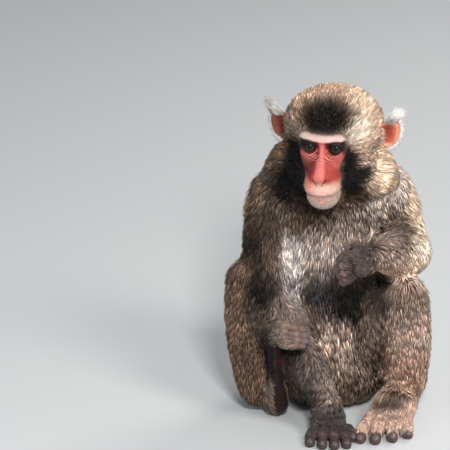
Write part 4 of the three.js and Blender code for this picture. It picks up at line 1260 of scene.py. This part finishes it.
def earHair(word, side):
    lay, count = earHairLay, earHairLay["hairs"]
    onRim = random.random(count) < lay["rim"]
    angle = np.radians(random.uniform(*lay["arc"], count))
    axes = earAxes(side)
    wide, high = lay["rimRadii"]
    rim = np.stack([side * wide * np.cos(angle), np.full(count, -1.0), high * np.sin(angle)], 1)
    top = np.array(lay["top"]) * [side, 1, 1] + random.normal(0, 1, (count, 3)) * lay["spread"]
    base = earLay["at"] * [side, 1, 1] + np.where(onRim[:, None], rim, top) @ axes.T
    out = np.where(onRim[:, None], unit(rim) + [0, -0.3, 0.25], [side * 0.45, -0.25, 1.0]) @ axes.T
    out = unit(out + random.normal(0, 0.17, (count, 3)))
    rimLong = random.uniform(*lay["rimLength"], count)
    long = np.where(onRim, rimLong, random.uniform(*lay["length"], count))
    root, under = onSkin(fromHead(base))
    out, bend = out @ headAxes, np.array([0.0, 0.0, -lay["sag"]]) @ headAxes
    pale = tone(*lay["tone"]) * random.uniform(0.6, 1.08, count)[:, None]
    hair = {
        "root": root - out * 0.0006, "up": unit(np.cross(out, [0.3, 1, 0.1])),
        "mid": root + out * long[:, None] * 0.0005,
        "tip": root + (out + bend) * long[:, None] * 0.001,
        "thick": lay["width"] * random.uniform(0.6, 1.3, count),
        "tones": np.stack([pale * 0.8, pale * 0.95, pale], 1),
        "place": skinPlaces[cornerLoops[under]].mean(1),
    }
    tuft = "ear_tuft_" + word
    makeTufts("ear_hair_" + word, hair, np.arange(count), whiteFinish, "white_hair", tuft)


earHair("right", -1)
earHair("left", 1)
print("hair of face and ears made")


stageLay = {
    "distance": 4.3, "elevation": 20, "width": 0.531, "sensor": 36, "aim": (-0.1239, -0.05, 0.2416),
    "floor": (0.46, 0.47, 0.48), "air": (0.90, 0.95, 1.0), "airStrength": 0.38,
    "lampsFace": (0, -0.05, 0.2),
    "lamps": {  # place, size in metres, watts, colour
        "key": ((1.3, -1.4, 2.0), 0.8, 38, (1.0, 0.97, 0.93)),
        "catch": ((0.2, -2.4, 1.75), 0.42, 84, (1.0, 0.99, 0.97)),
        "fill": ((-1.8, -1.7, 1.3), 1.6, 7, (0.94, 0.97, 1.0)),
        "rim": ((1.2, 1.3, 1.8), 0.9, 28, (1.0, 0.97, 0.93)),
    },
}
bpy.ops.mesh.primitive_plane_add(size=30)
floor = bpy.context.object
floor.name = "floor"
paper = material("pale_floor", **{"Base Color": (*stageLay["floor"], 1), "Roughness": 0.9})[0]
floor.data.materials.append(paper)

world = bpy.data.worlds.new("room")
bpy.context.scene.world = world
world.use_nodes = True
airInputs = world.node_tree.nodes["Background"].inputs
airInputs["Color"].default_value = (*stageLay["air"], 1)
airInputs["Strength"].default_value = stageLay["airStrength"]


def turned(way):  # the turn of a lamp or camera that looks that way
    return way.to_track_quat("-Z", "Y").to_euler()


for name, (place, size, power, colour) in stageLay["lamps"].items():
    lamp = bpy.data.lights.new(name, "AREA")
    lamp.size = size
    lamp.energy = power
    lamp.color = colour
    box = link(bpy.data.objects.new(name, lamp))
    box.location = place
    box.rotation_euler = turned(Vector(stageLay["lampsFace"]) - Vector(place))

camera = bpy.data.cameras.new("camera")
camera.sensor_width = stageLay["sensor"]
camera.lens = stageLay["sensor"] * stageLay["distance"] / stageLay["width"]
camera.clip_end = 100
view = link(bpy.data.objects.new("camera", camera))
tilt = math.radians(stageLay["elevation"])
look = Vector((0, math.cos(tilt), -math.sin(tilt)))
view.location = Vector(stageLay["aim"]) - look * stageLay["distance"]
view.rotation_euler = turned(look)
bpy.context.scene.camera = view
bpy.context.scene.view_settings.view_transform = "Standard"
